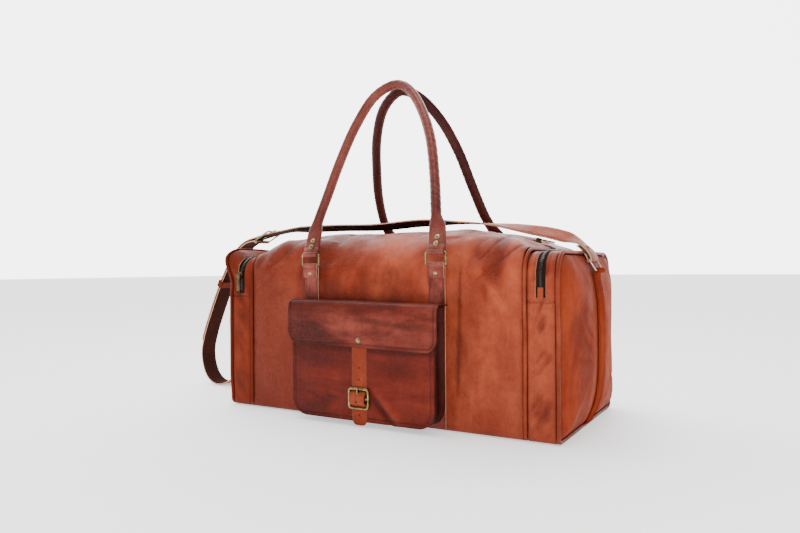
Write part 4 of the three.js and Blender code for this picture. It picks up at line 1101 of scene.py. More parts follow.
for side, where in ((1, "right"), (-1, "left")):
    gusset(side, where)
    # the left end's piping takes the darker copy of the tan leather: painted shade
    material = TAN if side > 0 else TAN_SHADED_LEFT
    inner_x = (SEAM_X + GUSSET_IN) / 2
    piping(f"piping_inner_leather_{where}", inner_x, HALF - 1, (SEAM_HEIGHT + END_HEIGHT) / 2 - 1, side,
           f"piping_inner_{where}", material)
    piping(f"piping_outer_leather_{where}", PANEL_X, HALF - 1, END_HEIGHT - 1, side,
           f"piping_outer_{where}", material)
    end_panel(side, where)
    end_strip(side, where)
    route = zip_route(1.1, END_ZIP_LOW + 0.5)
    tape_route = place_side(at_x(END_SLOT_X, route), side)[::-side]
    zip_tape(f"end_zip_tape_cloth_{where}", tape_route, X_AXIS, END_SLOT - 0.8, "bag", f"end_zip_tape_{where}")
    coil_route = at_x(END_SLOT_X * side, zip_route(-0.2, END_ZIP_LOW + 5))[::-1]
    zip_coil(f"end_zip_coil_{where}", coil_route, X_AXIS, "bag", f"end_zip_teeth_{where}")
    lines = []
    for offset in (-1, 1):
        edge_x = END_SLOT_X + offset * (END_SLOT / 2 + 3.2)
        around = zip_route(-0.35, END_ZIP_LOW - 1)
        rear_out = at_x(0, zip_route(-1.35, END_ZIP_LOW - 1)) - at_x(0, zip_route(-0.35, END_ZIP_LOW - 1))
        lines.append((place_side(at_x(edge_x, around), side), unit(rear_out)))
    for z in (CROSS_SEAM - 2.9, CROSS_SEAM + 2.7):
        for y in (-1, 1):
            across = np.linspace(GUSSET_IN + 3, GUSSET_OUT - 3, 12)
            line = np.stack([across, np.full(12, y * (HALF + 0.3)), np.full(12, z)], 1)
            lines.append((place_side(line, side), [0, y, 0]))
    stitches(f"end_zip_stitching_{where}", lines, "bag", THREAD_TAN, radius=0.45)
    heights = np.linspace(END_ZIP_LOW - 1, END_ZIP_LOW + 15, 14)
    tab = np.stack([np.full(14, END_SLOT_X * side), np.full(14, -side * (HALF + 0.7)), heights], 1)
    tab[:, 1] -= side * 0.8 * np.sin(np.linspace(0.4, np.pi - 0.4, 14))
    ribbon(f"end_zip_tab_{where}", tab, X_AXIS * side, 8.5, 1.8, [STRAP] * 3, "bag")


# ---------- handles, rings and bands ----------


def wire_ring(name, width, height, radius, corner, place, body, node, material, slot):
    """A bent wire ring in a local x-z plane, put in place by a matrix in millimetres."""
    path = arch(width / 2, 0, height, corner, corner, 8)
    path = np.stack([path[:, 0], np.zeros(len(path)), path[:, 1]], 1)
    path = resample(path, 96, True)
    rings = sweep(path, Y_AXIS, lambda share: circle(radius, 14), True)
    faces = tube_faces(*rings.shape[:2], True)
    obj = add_mesh(name, moved_by(place, rings), faces, material, body, replaces=[node], slot=slot)
    return fix_outside(obj)


def placed(x, y, z, turn_z=0.0, turn_x=0.0, turn_y=0.0):
    place = Matrix.Translation((x, y, z))
    for turn, axis in ((turn_z, "Z"), (turn_y, "Y"), (turn_x, "X")):
        place = place @ Matrix.Rotation(turn, 4, axis)
    return place


FRONT_HANDLE = [
    (-118, 3), (-118, 9), (-121, 34), (-122, 60), (-117, 114), (-110, 186), (-98, 255), (-77, 312), (-57, 331),
    (-34, 338), (-12, 330), (8, 311), (37, 268), (65, 209), (89, 131), (105, 66), (114, 34), (118, 9), (118, 3),
]
REAR_HANDLE = [
    (-118, 3), (-118, 9), (-127, 34), (-139, 70), (-139, 128), (-128, 189), (-112, 248), (-88, 296), (-64, 320),
    (-38, 332), (-18, 327), (4, 310), (32, 269), (54, 210), (70, 135), (85, 74), (104, 34), (118, 9), (118, 3),
]


def handle(points, face, front):
    sides = 28
    roll = 16.2 if front else 17.4
    path2 = smooth_curve(points, 420)
    path = np.stack([path2[:, 0], np.zeros(len(path2)), path2[:, 1]], 1)
    length = lengths(path)[-1]
    turn = (np.arange(sides) + 0.5) / sides * 2 * np.pi

    def section(share):
        place = min(share, 1 - share) * length
        rolled = ease(place, 36, 66)
        wide = 28 + (roll - 28) * rolled
        thick = 5.6 + (roll - 5.6) * rolled
        boxy = 0.45 + 0.55 * rolled
        c, s = np.cos(turn), np.sin(turn)
        out = np.sign(c) * np.abs(c) ** boxy * wide / 2
        across = np.sign(s) * np.abs(s) ** boxy * thick / 2
        return np.stack([out, across], 1)

    rings = sweep(path, Y_AXIS, section)
    rows = len(rings)
    share = np.linspace(0, 1, rows)
    along = share * length
    place = np.minimum(along, length - along)
    rolled = ease(place, 40, 72)[:, None]
    centre = rings.mean(1, keepdims=True)
    out = unit(rings - centre)
    lean_phase = turn[None] * 1.0 + along[:, None] / 4.2
    wrinkled = ease(share, 0.60, 0.70) * (1 - ease(share, 0.90, 0.95)) * 0.8 + hump(share, 0.47, 0.07)
    ripple = (np.abs(np.sin(lean_phase + 1.3 * rough(rings, (40, 40, 40), 71))) - 0.6) * 0.5
    bumps = rough(rings, (30, 30, 30), 73) * 0.12 + rough(rings, (80, 80, 80), 74) * 0.35 + 0.35
    push = (ripple * wrinkled[:, None] + bumps) * rolled
    under = np.abs(((turn - np.pi * 1.5 + np.pi) % (2 * np.pi)) - np.pi)
    seam_side = hump(under, 0, 0.16)[None] * rolled
    push -= 0.7 * seam_side
    rings = rings + out * push[..., None]
    # darker along the seam groove underneath (painted shade) and along the edges of the flat ends (edge wear)
    wear_and_shade = 0.5 * seam_side + 0.35 * (1 - rolled) * (np.abs(np.sin(turn))[None] < 0.4)
    # the rest of each end folds round the ring's bar
    turned = Matrix.Rotation(0 if front else math.pi, 4, "Z")
    turned = turned @ Matrix.Translation((0, -RING_Y, RING_LOW_Z + RING_HEIGHT))
    turned = turned @ Matrix.Rotation(-HANDLE_LEAN, 4, "X")
    flip = 1 if front else -1
    pieces = rings.copy()
    pieces[..., 0] *= flip
    flat = moved_by(turned, pieces)
    body = f"{face}_handle"
    # the rear handle takes the darker copy of the handle leather: painted shade
    skin = HANDLE if front else HANDLE_SHADED_REAR
    obj = add_mesh(f"handle_leather_{face}", flat, tube_faces(rows, sides, False), skin, body,
                   replaces=[f"handle_{face}"], slot="handle_leather", wear_and_shade=wear_and_shade)
    fix_outside(obj)
    for end in (-1, 1):
        circle_path = arc(0, 0, LOOP_INNER + 1.25, 118, 422, 40)
        route = np.vstack([[[-2.1, 12]], [[-2.1, 6]], circle_path, [[2.1, 6]], [[2.1, 12]]])
        route = np.stack([np.zeros(len(route)), route[:, 0], route[:, 1]], 1)
        fold_rings = sweep(route, X_AXIS, lambda share: strap_section(2.3, BAND_WIDTH)[0])
        fold_rings[..., 0] += end * HANDLE_X * flip
        label = "right" if end > 0 else "left"
        faces = tube_faces(*fold_rings.shape[:2], False)
        fold = add_mesh(f"handle_fold_{face}_{label}", moved_by(turned, fold_rings), faces, skin, body,
                        slot="handle_leather")
        fix_outside(fold)
        for k, h in enumerate((13.0, 24.0)):
            lift = 3.5
            spot = Vector(((end * HANDLE_X - (0.10 * h * (1 if end > 0 else 0.4)) * (0.3)) * flip, -lift, h))
            foot = turned @ spot
            outward = turned.to_3x3() @ Vector((0, -1, 0))
            rivet(f"handle_rivet_{face}_{label}_{k + 1}", foot, outward, body)
    # stitched seam along the flattened ends
    lines = []
    for end in (-1, 1):
        for s in (-1, 1):
            heights = np.linspace(8, 40, 14)
            x = (np.interp(heights, [p[1] for p in points[:5]], [p[0] for p in points[:5]]) if end < 0 else
                 np.interp(heights, [p[1] for p in points[::-1][:5]], [p[0] for p in points[::-1][:5]]))
            reach = 11.5 - 4.5 * ease(heights, 26, 46)
            depth = np.full(14, -3.0) - 1.6 * ease(heights, 24, 44)
            local = np.stack([(x + s * reach) * flip, depth, heights], 1)
            lines.append((moved_by(turned, local), turned.to_3x3() @ Vector((0, -1, 0))))
    stitches(f"handle_stitching_{face}", lines, body, THREAD_DARK, radius=0.4)


def band(face, where, x, front):
    """A flat band up the face of the bag, folded round its ring's lower bar."""
    low = 5
    heights = np.linspace(low, 214, 60)
    sign = -1 if front else 1
    wall = HALF + GAP + 1.2
    circle_path = arc(-RING_Y, RING_LOW_Z, LOOP_INNER + 1.25, 8, 262, 30)
    route = np.vstack([np.stack([np.full(60, -wall), heights], 1), [[-(wall - 0.05), 226]], circle_path])
    tail = np.array([[-(RING_Y + 2.2), 243], [-(RING_Y + 1.4), 236], [-(RING_Y + 1.0), 230]])
    route = smooth_curve(np.vstack([route[::3], route[-1:], tail]), 170)
    points = np.stack([np.full(len(route), float(x)), route[:, 0] * -sign, route[:, 1]], 1)
    across = X_AXIS * (1 if front else -1)
    obj = ribbon(f"band_leather_{face}_{where}", points, across, BAND_WIDTH, 2.2, [BAND, RAW, BAND], "bag",
                 replaces=[f"band_{face}_{where}"], slot="dark_leather")
    stitch_heights = np.linspace(8, 232, 80)
    stand = np.interp(stitch_heights, [0, 226, 240], [wall + 1.2, wall + 1.2, RING_Y + 2.2])
    rows = []
    for s in (-1, 1):
        line = np.stack([np.full(80, x + s * 10.8), sign * stand, stitch_heights], 1)
        rows.append((line, [0, sign, 0]))
    stitches(f"band_stitching_{face}_{where}", rows, "bag", THREAD_DARK, radius=0.42)
    foot = np.array([x, sign * (RING_Y + 1.75), 239.0])
    rivet(f"band_rivet_cap_{face}_{where}", foot, [0, sign, 0.06], "bag", [f"band_rivet_{face}_{where}"])
    return obj


for front, face in ((True, "front"), (False, "rear")):
    handle(FRONT_HANDLE if front else REAR_HANDLE, face, front)
    for x in (-HANDLE_X, HANDLE_X):
        where = "right" if x > 0 else "left"
        band(face, where, x, front)
        place = placed(x, -RING_Y if front else RING_Y, RING_LOW_Z)
        wire_ring(f"ring_wire_{face}_{where}", 34, RING_HEIGHT, WIRE, 2.6, place, f"{face}_rings",
                  f"ring_{face}_{where}", BRASS, "brass")


# ---------- front pocket ----------

POCKET_HALF = 131
POCKET_LOW = 8
POCKET_HIGH = 188
POCKET_CORNER = 28
POCKET_FRONT = HALF + 34
POCKET_STRAP = 2.2
FLAP_BACK = POCKET_FRONT + GAP + POCKET_STRAP + GAP + 0.1
FLAP_HALF = 137
FLAP_TOP = 193.5
FLAP_LOW = 124
FLAP_CORNER = 22
BUCKLE_Z = 44
BUCKLE_WIRE = 1.75
BUCKLE_HEIGHT = 30
BAR_Y = POCKET_FRONT + GAP + 1.1 + GAP + BUCKLE_WIRE + GAP + 1.3


def pocket_half(z):
    """Half width of the pocket at height z: upright sides and round lower corners."""
    up = np.clip((POCKET_LOW + POCKET_CORNER - z) / POCKET_CORNER, 0, 1)
    return POCKET_HALF - POCKET_CORNER * (1 - np.sqrt(1 - up**2))


def pocket():
    rows, cols = 90, 130
    z = POCKET_HIGH - (POCKET_HIGH - POCKET_LOW) * np.sin(np.linspace(0, np.pi / 2, rows)) ** 0.9
    u = np.sin(np.linspace(-1, 1, cols) * np.pi / 2 * 0.97) / math.sin(np.pi / 2 * 0.97)
    grid = np.zeros((rows, cols, 3))
    grid[..., 0] = pocket_half(z)[:, None] * u[None]
    grid[..., 2] = z[:, None]
    x, zz = grid[..., 0], grid[..., 2]
    rim = np.minimum(pocket_half(zz) - np.abs(x), (zz - POCKET_LOW) * 1.0)
    full = ease(rim, 7, 60)
    low = 1 - ease(zz, 40, 150)
    swell = 1.1 * full * (0.6 + 0.4 * low)
    folds = rough(grid, (70, 100, 46), 81, 2) * 0.9 * full
    dent = -3.2 * np.exp(-(((x - 38) + (zz - 34) * 0.9) / 9) ** 2) * hump(zz, 30, 20)
    ridge = 1.7 * np.exp(-(((x - 52) + (zz - 34) * 0.9) / 12) ** 2) * hump(zz, 30, 22)
    buckle = hump(x, 0, 20) * hump(zz, BUCKLE_Z, 34)
    groove = -0.55 * hump(rim, 6.5, 1.6)
    push = swell + folds + dent + ridge + groove
    # painted shade: a shadow line just below the flap, a darker left side and the stitch groove; painted light
    # and shade over the folds and the dent
    shadow = 0.9 * hump(zz, 119, 4) + 0.35 * ease(-x, 30, 125) + 0.6 * hump(rim, 6.5, 1.4)
    painted_shading_and_tone = np.clip(folds * 0.5 + dent * 0.5 + ridge * 0.8 - shadow, -1, 1)
    strip = np.exp(-((np.abs(x) / 17) ** 4))
    push = push * (1 - strip) + strip * np.minimum(push, 0.0) * (1 - buckle)
    push = np.minimum(push, 1.7)
    under_flap = ease(zz, 122, 132)
    push = push * (1 - under_flap) + np.minimum(push, 0.4) * under_flap
    grid[..., 1] = -(POCKET_FRONT + push - 0.05)
    # darker at the rim (edge wear), with painted shade in the stitch groove and on the top, under the flap
    wear_and_shade = 0.85 * np.exp(-rim / 2.2) + 0.28 * hump(rim, 6.5, 1.8) + 0.3 * ease(zz, 118, 128)
    shell("pocket_front_leather", grid[:, ::-1], 2.3, DARK, "bag", wear_and_shade=wear_and_shade[:, ::-1],
          painted_shading_and_tone=painted_shading_and_tone[:, ::-1], replaces=["pocket_front"],
          slot="dark_leather")
    around = pocket_outline(6.5)
    line = np.stack([around[:, 0], np.full(len(around), -(POCKET_FRONT + 0.1)), around[:, 1]], 1)
    stitches("pocket_stitching", [(line, [0, -1, 0])], "bag", THREAD_DARK, radius=0.5, pitch=4.0, length=2.9)


def pocket_outline(inset, high=POCKET_HIGH - 2):
    """Down the left side, along the bottom and up the right side, as (x, z)."""
    half, low, corner = POCKET_HALF - inset, POCKET_LOW + inset, POCKET_CORNER - inset
    return resample(
        np.vstack(
            [
                [[-half, high]],
                arc(-(half - corner), low + corner, corner, 180, 270, 14),
                arc(half - corner, low + corner, corner, -90, 0, 14),
                [[half, high]],
            ]
        ),
        260,
    )


def pocket_gusset():
    """The wall between the pocket's front and the bag: a strip that folds inwards."""
    outline = pocket_outline(0, POCKET_HIGH - 0.5)
    steps = np.linspace(0, 1, 16)
    front, back = POCKET_FRONT - WALL - 0.2, HALF + GAP + WALL + GAP
    tangent = unit(np.gradient(outline, axis=0))
    inward = np.stack([-tangent[:, 1], tangent[:, 0]], 1)
    grid = np.zeros((len(steps), len(outline), 3))
    for i, s in enumerate(steps):
        depth = 7.5 * math.sin(math.pi * s) ** 1.3 * (0.8 + 0.2 * rough(at_x(0, outline), (60, 60, 60), 91))
        bottom = ease(outline[:, 1], 8, 60)
        line = outline + inward * (depth * (0.45 + 0.55 * bottom))[:, None]
        grid[i, :, 0] = line[:, 0]
        grid[i, :, 2] = line[:, 1]
        grid[i, :, 1] = -(back + (front - back) * s)
    # painted shade: the strip is darkest along the middle of its inward fold
    wear_and_shade = np.broadcast_to((0.8 * np.sin(math.pi * steps) ** 2)[:, None], grid.shape[:2])
    normals = grid_normals(grid)
    outside = (normals[8, 130, 2] > 0)
    outer = grid[:, ::-1] if outside else grid
    weights = wear_and_shade[:, ::-1] if outside else wear_and_shade
    shell("pocket_gusset_leather", outer, 2.0, GUSSET_DARK, "bag", wear_and_shade=weights, replaces=["pocket_gusset"],
          slot="dark_leather")


def flap():
    outer = FLAP_BACK + WALL
    hinge = HALF + GAP + WALL + GAP + 1
    profile = np.array(
        [[-hinge, FLAP_TOP + 0.9], [-(hinge + 8), FLAP_TOP + 1.4], [-(outer - 11), FLAP_TOP + 1.4],
         [-(outer - 4), FLAP_TOP - 0.6], [-(outer - 0.8), FLAP_TOP - 5.5], [-(outer + 0.5), FLAP_TOP - 14],
         [-(outer + 1.0), 168], [-(outer + 0.8), 146], [-outer, FLAP_LOW]]
    )
    rows, cols = 90, 130
    line = smooth_curve(profile, 200)
    steps = lengths(line)
    total = steps[-1]
    places = total * (1 - (1 - np.linspace(0, 1, rows)) ** 1.35)
    line = np.stack([np.interp(places, steps, line[:, k]) for k in (0, 1)], 1)
    left = np.clip((places - (total - FLAP_CORNER)) / FLAP_CORNER, 0, 1)
    half = FLAP_HALF - FLAP_CORNER * (1 - np.sqrt(1 - left**2))
    u = np.sin(np.linspace(-1, 1, cols) * np.pi / 2 * 0.97) / math.sin(np.pi / 2 * 0.97)
    grid = np.zeros((rows, cols, 3))
    grid[..., 0] = half[:, None] * u[None]
    grid[..., 1] = line[:, :1]
    grid[..., 2] = line[:, 1:]
    normals = grid_normals(grid)
    if normals[60, 65, 1] > 0:
        normals = -normals
    x, z = grid[..., 0], grid[..., 2]
    rim = np.minimum(half[:, None] - np.abs(x), (total - places)[:, None])
    hang = ease(places, 30, 60)[:, None]
    push = rough(grid, (90, 200, 40), 101, 2) * 0.9 * hang + 0.5 * hang
    push += rough(grid, (26, 60, 20), 103) * 0.3 * hang
    push -= 0.5 * hump(rim, 5.5, 1.5)
    push += 1.0 * hang * hump(x, 0, 24) * ease(FLAP_TOP - z, 30, 60) * 0.4
    push = np.clip(push, -0.9, 2.4)
    grid = grid + normals * push[..., None]
    grid[..., 2] -= 3.5 * ease(x, -110, 137)
    cloud = rough(grid, (55, 300, 13), 107, 3)
    # painted shade: darker patches and the stitch groove, a darker left side and a lighter right side, over
    # random tone
    shade_patches = 0.9 * np.exp(-((x - 55) / 62) ** 2 - ((z - 168 + 0.08 * x) / 8) ** 2)
    shade_patches += 0.75 * np.exp(-((x + 88) / 44) ** 2 - ((z - 150) / 20) ** 2)
    shade_patches += 0.6 * hump(rim, 5.5, 1.3)
    painted_shading_and_tone = np.clip(0.45 * cloud + 0.15 - shade_patches - 0.5 * ease(-x, -10, 110) + 0.3 * ease(x, 50, 125), -1, 1)
    # darker at the rim (edge wear), with painted shade in the stitch groove, and darker over the top turn
    wear_and_shade = 0.8 * np.exp(-rim / 1.6) + 0.25 * hump(rim, 5.5, 1.8) + 0.25 * (1 - hang)
    outer_grid = grid[:, ::-1] if grid_normals(grid)[60, 65, 1] > 0 else grid
    weights = wear_and_shade[:, ::-1] if grid_normals(grid)[60, 65, 1] > 0 else wear_and_shade
    shading_and_tone_out = painted_shading_and_tone[:, ::-1] if grid_normals(grid)[60, 65, 1] > 0 else painted_shading_and_tone
    shell("pocket_flap_leather", outer_grid, 2.4, FLAP, "flap", wear_and_shade=weights, painted_shading_and_tone=shading_and_tone_out,
          replaces=["pocket_flap"], slot="dark_leather")
    # stitching down each side and along the lower edge
    rows_out = []
    for i in range(24, rows):
        level = half[i] - 5.5
        if total - places[i] < 5.5 or level < 5:
            break
        rows_out.append(i)
    sides_line = []
    for s in (-1, 1):
        pts = []
        for i in rows_out:
            inner_left = np.clip((places[i] - (total - FLAP_CORNER)) / (FLAP_CORNER - 5.5), 0, 1)
            reach = (FLAP_HALF - 5.5) - (FLAP_CORNER - 5.5) * (1 - math.sqrt(1 - inner_left**2))
            j = np.argmin(np.abs(grid[i, :, 0] - s * reach))
            pts.append(grid[i, j] + normals[i, j] * 0.2)
        sides_line.append(np.array(pts))
    last = rows_out[-1]
    reach = abs(sides_line[0][-1][0])
    row = [grid[last, j] + normals[last, j] * 0.2 for j in range(cols) if abs(grid[last, j, 0]) < reach]
    full = np.vstack([sides_line[0], np.array(row)[np.argsort(np.array(row)[:, 0])], sides_line[1][::-1]])
    stitches("pocket_flap_stitching", [(full, [0, -1, 0])], "flap", THREAD_DARK, pitch=4.0, length=2.9)
    spot = grid[np.argmin(np.abs(grid[:, 65, 2] - (FLAP_LOW + 10))), 65]
    rivet("flap_rivet_cap", spot + [0, -0.1, 0], [0, -1, 0], "flap", ["flap_rivet"])


def punched(obj, spots, radius, axis):
    """Cuts round holes through a strap."""
    cutters = []
    for spot in spots:
        bpy.ops.mesh.primitive_cylinder_add(
            vertices=24, radius=radius * MM, depth=12 * MM, location=np.array(spot) * MM
        )
        cutter = bpy.context.object
        cutter.rotation_euler = Vector(axis).to_track_quat("Z", "Y").to_euler()
        cutters.append(cutter)
    for cutter in cutters:
        modifier = obj.modifiers.new("hole", "BOOLEAN")
        modifier.operation = "DIFFERENCE"
        modifier.solver = "EXACT"
        modifier.object = cutter
    bpy.context.view_layer.update()
    apply_modifiers(obj)
    for cutter in cutters:
        bpy.data.objects.remove(cutter)


def pocket_strap():
    flat = POCKET_FRONT + GAP + POCKET_STRAP / 2 + 0.1
    loop = BUCKLE_WIRE + GAP + 1.7
    out = BAR_Y + loop + GAP + POCKET_STRAP / 2 + 0.2
    reach = BUCKLE_HEIGHT / 2
    route = [
        (-flat, 138), (-flat, 110), (-flat, 90), (-flat, BUCKLE_Z + reach + 12), (-flat, BUCKLE_Z + reach + 3),
        (-(flat + 0.2), BUCKLE_Z + reach - 2.5), (-(flat + 4.8), BUCKLE_Z + 9), (-out, BUCKLE_Z + 4.5),
        (-out, BUCKLE_Z), (-out, BUCKLE_Z - 4.5), (-(flat + 4.8), BUCKLE_Z - 9),
        (-(flat + 0.2), BUCKLE_Z - reach + 2.5),
        (-flat, BUCKLE_Z - reach - 4), (-flat, 16), (-flat, 2.2),
    ]
    line = smooth_curve(route, 170)
    points = np.stack([np.zeros(len(line)), line[:, 0], line[:, 1]], 1)
    obj = ribbon("pocket_strap_leather", points, -X_AXIS, 28, POCKET_STRAP, [STRAP] * 3, "flap", tip=13,
                 replaces=["pocket_strap"], slot="strap_leather")
    punched(obj, [(0, -flat, z) for z in (91, 73, 18)] + [(0, -out, BUCKLE_Z - 4)], 1.5, (0, 1, 0))
    slot_spots = [(0, -(flat + 3.4), BUCKLE_Z + h) for h in (7.5, 9, 10.5, 12)]
    punched(obj, slot_spots, 1.9, (0, 1, 0))
    rows = []
    for s in (-1, 1):
        upper = points[(points[:, 2] > BUCKLE_Z + reach + 4) & (points[:, 2] < 120)]
        rows.append((upper + [s * 10.8, -POCKET_STRAP / 2 - 0.05, 0], [0, -1, 0]))
        lower = points[(points[:, 2] < BUCKLE_Z - reach - 4) & (points[:, 2] > 14)]
        rows.append((lower + [s * 10.8, -POCKET_STRAP / 2 - 0.05, 0], [0, -1, 0]))
    stitches("pocket_strap_stitching", rows, "flap", THREAD_TAN, radius=0.35)


def pocket_buckle():
    place = placed(0, -BAR_Y, BUCKLE_Z - BUCKLE_HEIGHT / 2)
    wire_ring("pocket_buckle_frame", 34.6, BUCKLE_HEIGHT, BUCKLE_WIRE, 4.2, place, "bag", "pocket_buckle",
              BRASS, "brass")
    bar = np.array([[-16.5, -BAR_Y, BUCKLE_Z], [16.5, -BAR_Y, BUCKLE_Z]])
    rings = sweep(resample(bar, 8), Z_AXIS, lambda share: circle(BUCKLE_WIRE - 0.1, 14))
    fix_outside(add_mesh("pocket_buckle_bar", rings, tube_faces(8, 14, False), BRASS, "bag", slot="brass"))
    roller = np.array([[-14.6, -BAR_Y, BUCKLE_Z + 15], [14.6, -BAR_Y, BUCKLE_Z + 15]])
    rings = sweep(resample(roller, 30), Z_AXIS, lambda share: circle(2.35 - 0.25 * (share in (0, 1)), 20))
    fix_outside(add_mesh("pocket_buckle_roller", rings, tube_faces(30, 20, False), BRASS, "bag", slot="brass"))
    refined("buckle_chape", "bag", STRAP, 0.4)
    refined("pocket_buckle_prong", "pocket_prong", BRASS, 0.5)


pocket()
pocket_gusset()
flap()
pocket_strap()
pocket_buckle()


# ---------- shoulder strap ----------

RING_TURN = {"right": math.radians(-33), "left": math.radians(-140)}


def ring_bar(side, turn):
    return side * STRIP_RING_X + RING_HEIGHT * math.sin(turn), STRIP_RING_Z + RING_HEIGHT * math.cos(turn)


HINGE_BAR = (-363, 303)
FAR_BAR = (-327, 321)


def short_route():
    left_x, left_z = ring_bar(-1, RING_TURN["left"])
    return smooth_curve(
        [
            (HINGE_BAR[0] - LOOP_INNER - 0.8, HINGE_BAR[1] - 0.5),
            (-384, 301), (-406, 290), (-432, 262), (-462, 212), (-488, 158), (-509, 108), (-519, 70),
            (-514, 36), (-501, 14), (-481, 2.9), (-458, 4), (-430, 18), (-402, 48), (-376, 96), (-358, 150),
            (-348, 190), (left_x - 1, left_z - 2),
        ],
        260,
    )


def offset_line(line, distance):
    tangent = unit(np.gradient(line, axis=0))
    return line + np.stack([tangent[:, 1], -tangent[:, 0]], 1) * distance


def in_plane(line):
    return np.stack([line[:, 0], np.zeros(len(line)), line[:, 1]], 1)


def shoulder_strap():
    right_x, right_z = ring_bar(1, RING_TURN["right"])
    left_x, left_z = ring_bar(-1, RING_TURN["left"])
    short = short_route()
    pitch = STRAP_THICKNESS + 2 * GAP + 0.1
    tail = offset_line(short, pitch)
    tail = tail[(tail[:, 0] < -385) & (tail[:, 1] > 84)]
    tail = tail[: np.argmax(tail[:, 1] < 86) if (tail[:, 1] < 86).any() else len(tail)]
    fold = arc(right_x, right_z, LOOP_INNER + 1.4, -150, 40, 22)
    upper = [
        (311, 268), (303, 276), (292, 284), (276, 291), (250, 299), (212, 307), (160, 316), (87, 323), (9, 325),
        (-76, 321), (-166, 323), (-240, 323), (-290, 321.5), (FAR_BAR[0] + 1.6, FAR_BAR[1] - 3.6),
        (-347, 313.5), (HINGE_BAR[0] - 3.2, HINGE_BAR[1] + 6.4),
    ]
    guide = [fold[::3], fold[-1:], [(right_x + 1.6, right_z + 6)], upper, tail[::6], tail[-1:]]
    long = smooth_curve(np.vstack(guide), 520)
    wave = in_plane(long)
    finish = [FLESH, RAW, STRAP]
    x = long[:, 0]
    lean = np.radians(25) * ease(x, 110, 245) * (1 - ease(x, 268, 302))
    lean -= np.radians(13) * (1 - ease(x, 20, 110)) * ease(x, -300, -240)
    obj = ribbon("strap_long_leather", wave, -Y_AXIS, STRAP_WIDTH, 3.0, finish, None, tip=16, twist=lean)
    fold_back = arc(right_x, right_z, LOOP_INNER + 1.4, -150, -200, 6)
    guide = [fold_back, [(right_x - 6.2, right_z + 7.5), (299.5, 272.6), (293, 278.2)]]
    under = smooth_curve(np.vstack(guide), 40)
    flap_obj = ribbon("strap_fold_leather", in_plane(under), -Y_AXIS, STRAP_WIDTH - 1, 2.4, finish, None)
    holes = []
    for share in (0.66, 0.69, 0.72):
        k = int(len(long) * share)
        if long[k, 0] > -300:
            holes.append((long[k, 0], 0, long[k, 1]))
    punched(obj, holes, 2.0, (0, 0, 1))
    for piece in (obj, flap_obj):
        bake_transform(piece)
    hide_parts("strap_long")
    start = arc(HINGE_BAR[0], HINGE_BAR[1], LOOP_INNER + 1.4, 330, 190, 22)
    end_fold = arc(left_x, left_z, LOOP_INNER + 1.4, 215, -20, 26)
    whole = np.vstack([start[::3], start[-1:], short[4:-6:4], end_fold[::3], end_fold[-1:]])
    line = smooth_curve(whole, 420)
    short_obj = ribbon("strap_short_leather", in_plane(line), -Y_AXIS, STRAP_WIDTH, 3.0, finish, None)
    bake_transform(short_obj)
    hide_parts("strap_short")
    return short


def keeper(short):
    step = np.argmax(short[:, 1] < 214)
    way = unit(short[step - 2] - short[step + 2])
    pitch = STRAP_THICKNESS + 2 * GAP + 0.1
    centre = short[step] + np.array([-way[1], way[0]]) * pitch / 2
    half_in = (pitch + STRAP_THICKNESS) / 2 + 2 * GAP
    side_in = STRAP_WIDTH / 2 + 2 * GAP
    loop = arch(half_in + 1.1, -side_in - 1.1, side_in + 1.1, 2.2, 2.2, 6)
    loop = resample(loop, 90, True)
    path = np.stack([loop[:, 0], loop[:, 1], np.zeros(len(loop))], 1)
    rings = sweep(path, Z_AXIS, lambda share: strap_section(2.0, 14, 0.7)[0], True)
    turn = math.atan2(way[0], way[1])
    place = Matrix.Translation((centre[0], 0, centre[1])) @ Matrix.Rotation(turn, 4, "Y")
    faces = tube_faces(*rings.shape[:2], True)
    # the keeper takes the darker copy of the tan leather: painted shade
    obj = add_mesh("strap_keeper_leather", moved_by(place, rings), faces, TAN_SHADED_LEFT, "bag",
                   replaces=["strap_keeper"], slot="strap_leather")
    fix_outside(obj)


def strap_hardware():
    for side, where in ((1, "right"), (-1, "left")):
        place = placed(side * STRIP_RING_X, 0, STRIP_RING_Z, 0, 0, RING_TURN[where])
        place = place @ Matrix.Rotation(math.pi / 2, 4, "Z")
        wire_ring(f"strap_ring_wire_{where}", 45, RING_HEIGHT, WIRE, 3.2, place, f"{where}_strap_ring",
                  f"strap_ring_{where}", NICKEL, "nickel")
    reach = math.hypot(FAR_BAR[0] - HINGE_BAR[0], FAR_BAR[1] - HINGE_BAR[1])
    turn = math.atan2(FAR_BAR[0] - HINGE_BAR[0], FAR_BAR[1] - HINGE_BAR[1])
    place = placed(HINGE_BAR[0], 0, HINGE_BAR[1], 0, 0, turn) @ Matrix.Rotation(math.pi / 2, 4, "Z")
    wire_ring("strap_buckle_frame", STRAP_WIDTH + 8, reach, WIRE + 0.1, 4, place, "bag", "strap_buckle",
              BRASS, "brass")
    refined("strap_prong", "strap_buckle_prong", BRASS, 0.5)
    centre = node_centre("strap_rivet_right")
    out = np.array([math.sin(math.radians(39)), 0, math.cos(math.radians(39))])
    rivet("strap_rivet_cap", centre - out * 1.0, out, "bag", ["strap_rivet_right"], radius=4.2)


short_line = shoulder_strap()
keeper(short_line)
strap_hardware()


# ---------- zip sliders and pullers, and the inside ----------

for prefix, slider_body, puller_body in (
    ("main_zip", "main_slider", "main_puller"),
    ("end_left", "left_slider", "left_puller"),
    ("end_right", "right_slider", "right_puller"),
):
    refined(f"{prefix}_slider", slider_body, BRASS_DARK, 0.45)
    refined(f"{prefix}_puller", puller_body, BRASS_DARK, 0.4)

INSIDE = {"base_board": BOARD, "lining": CANVAS, "divider_left": CANVAS, "divider_right": CANVAS}
for node, material in INSIDE.items():
    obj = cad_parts[node]
    obj.data.materials.clear()
    obj.data.materials.append(material)


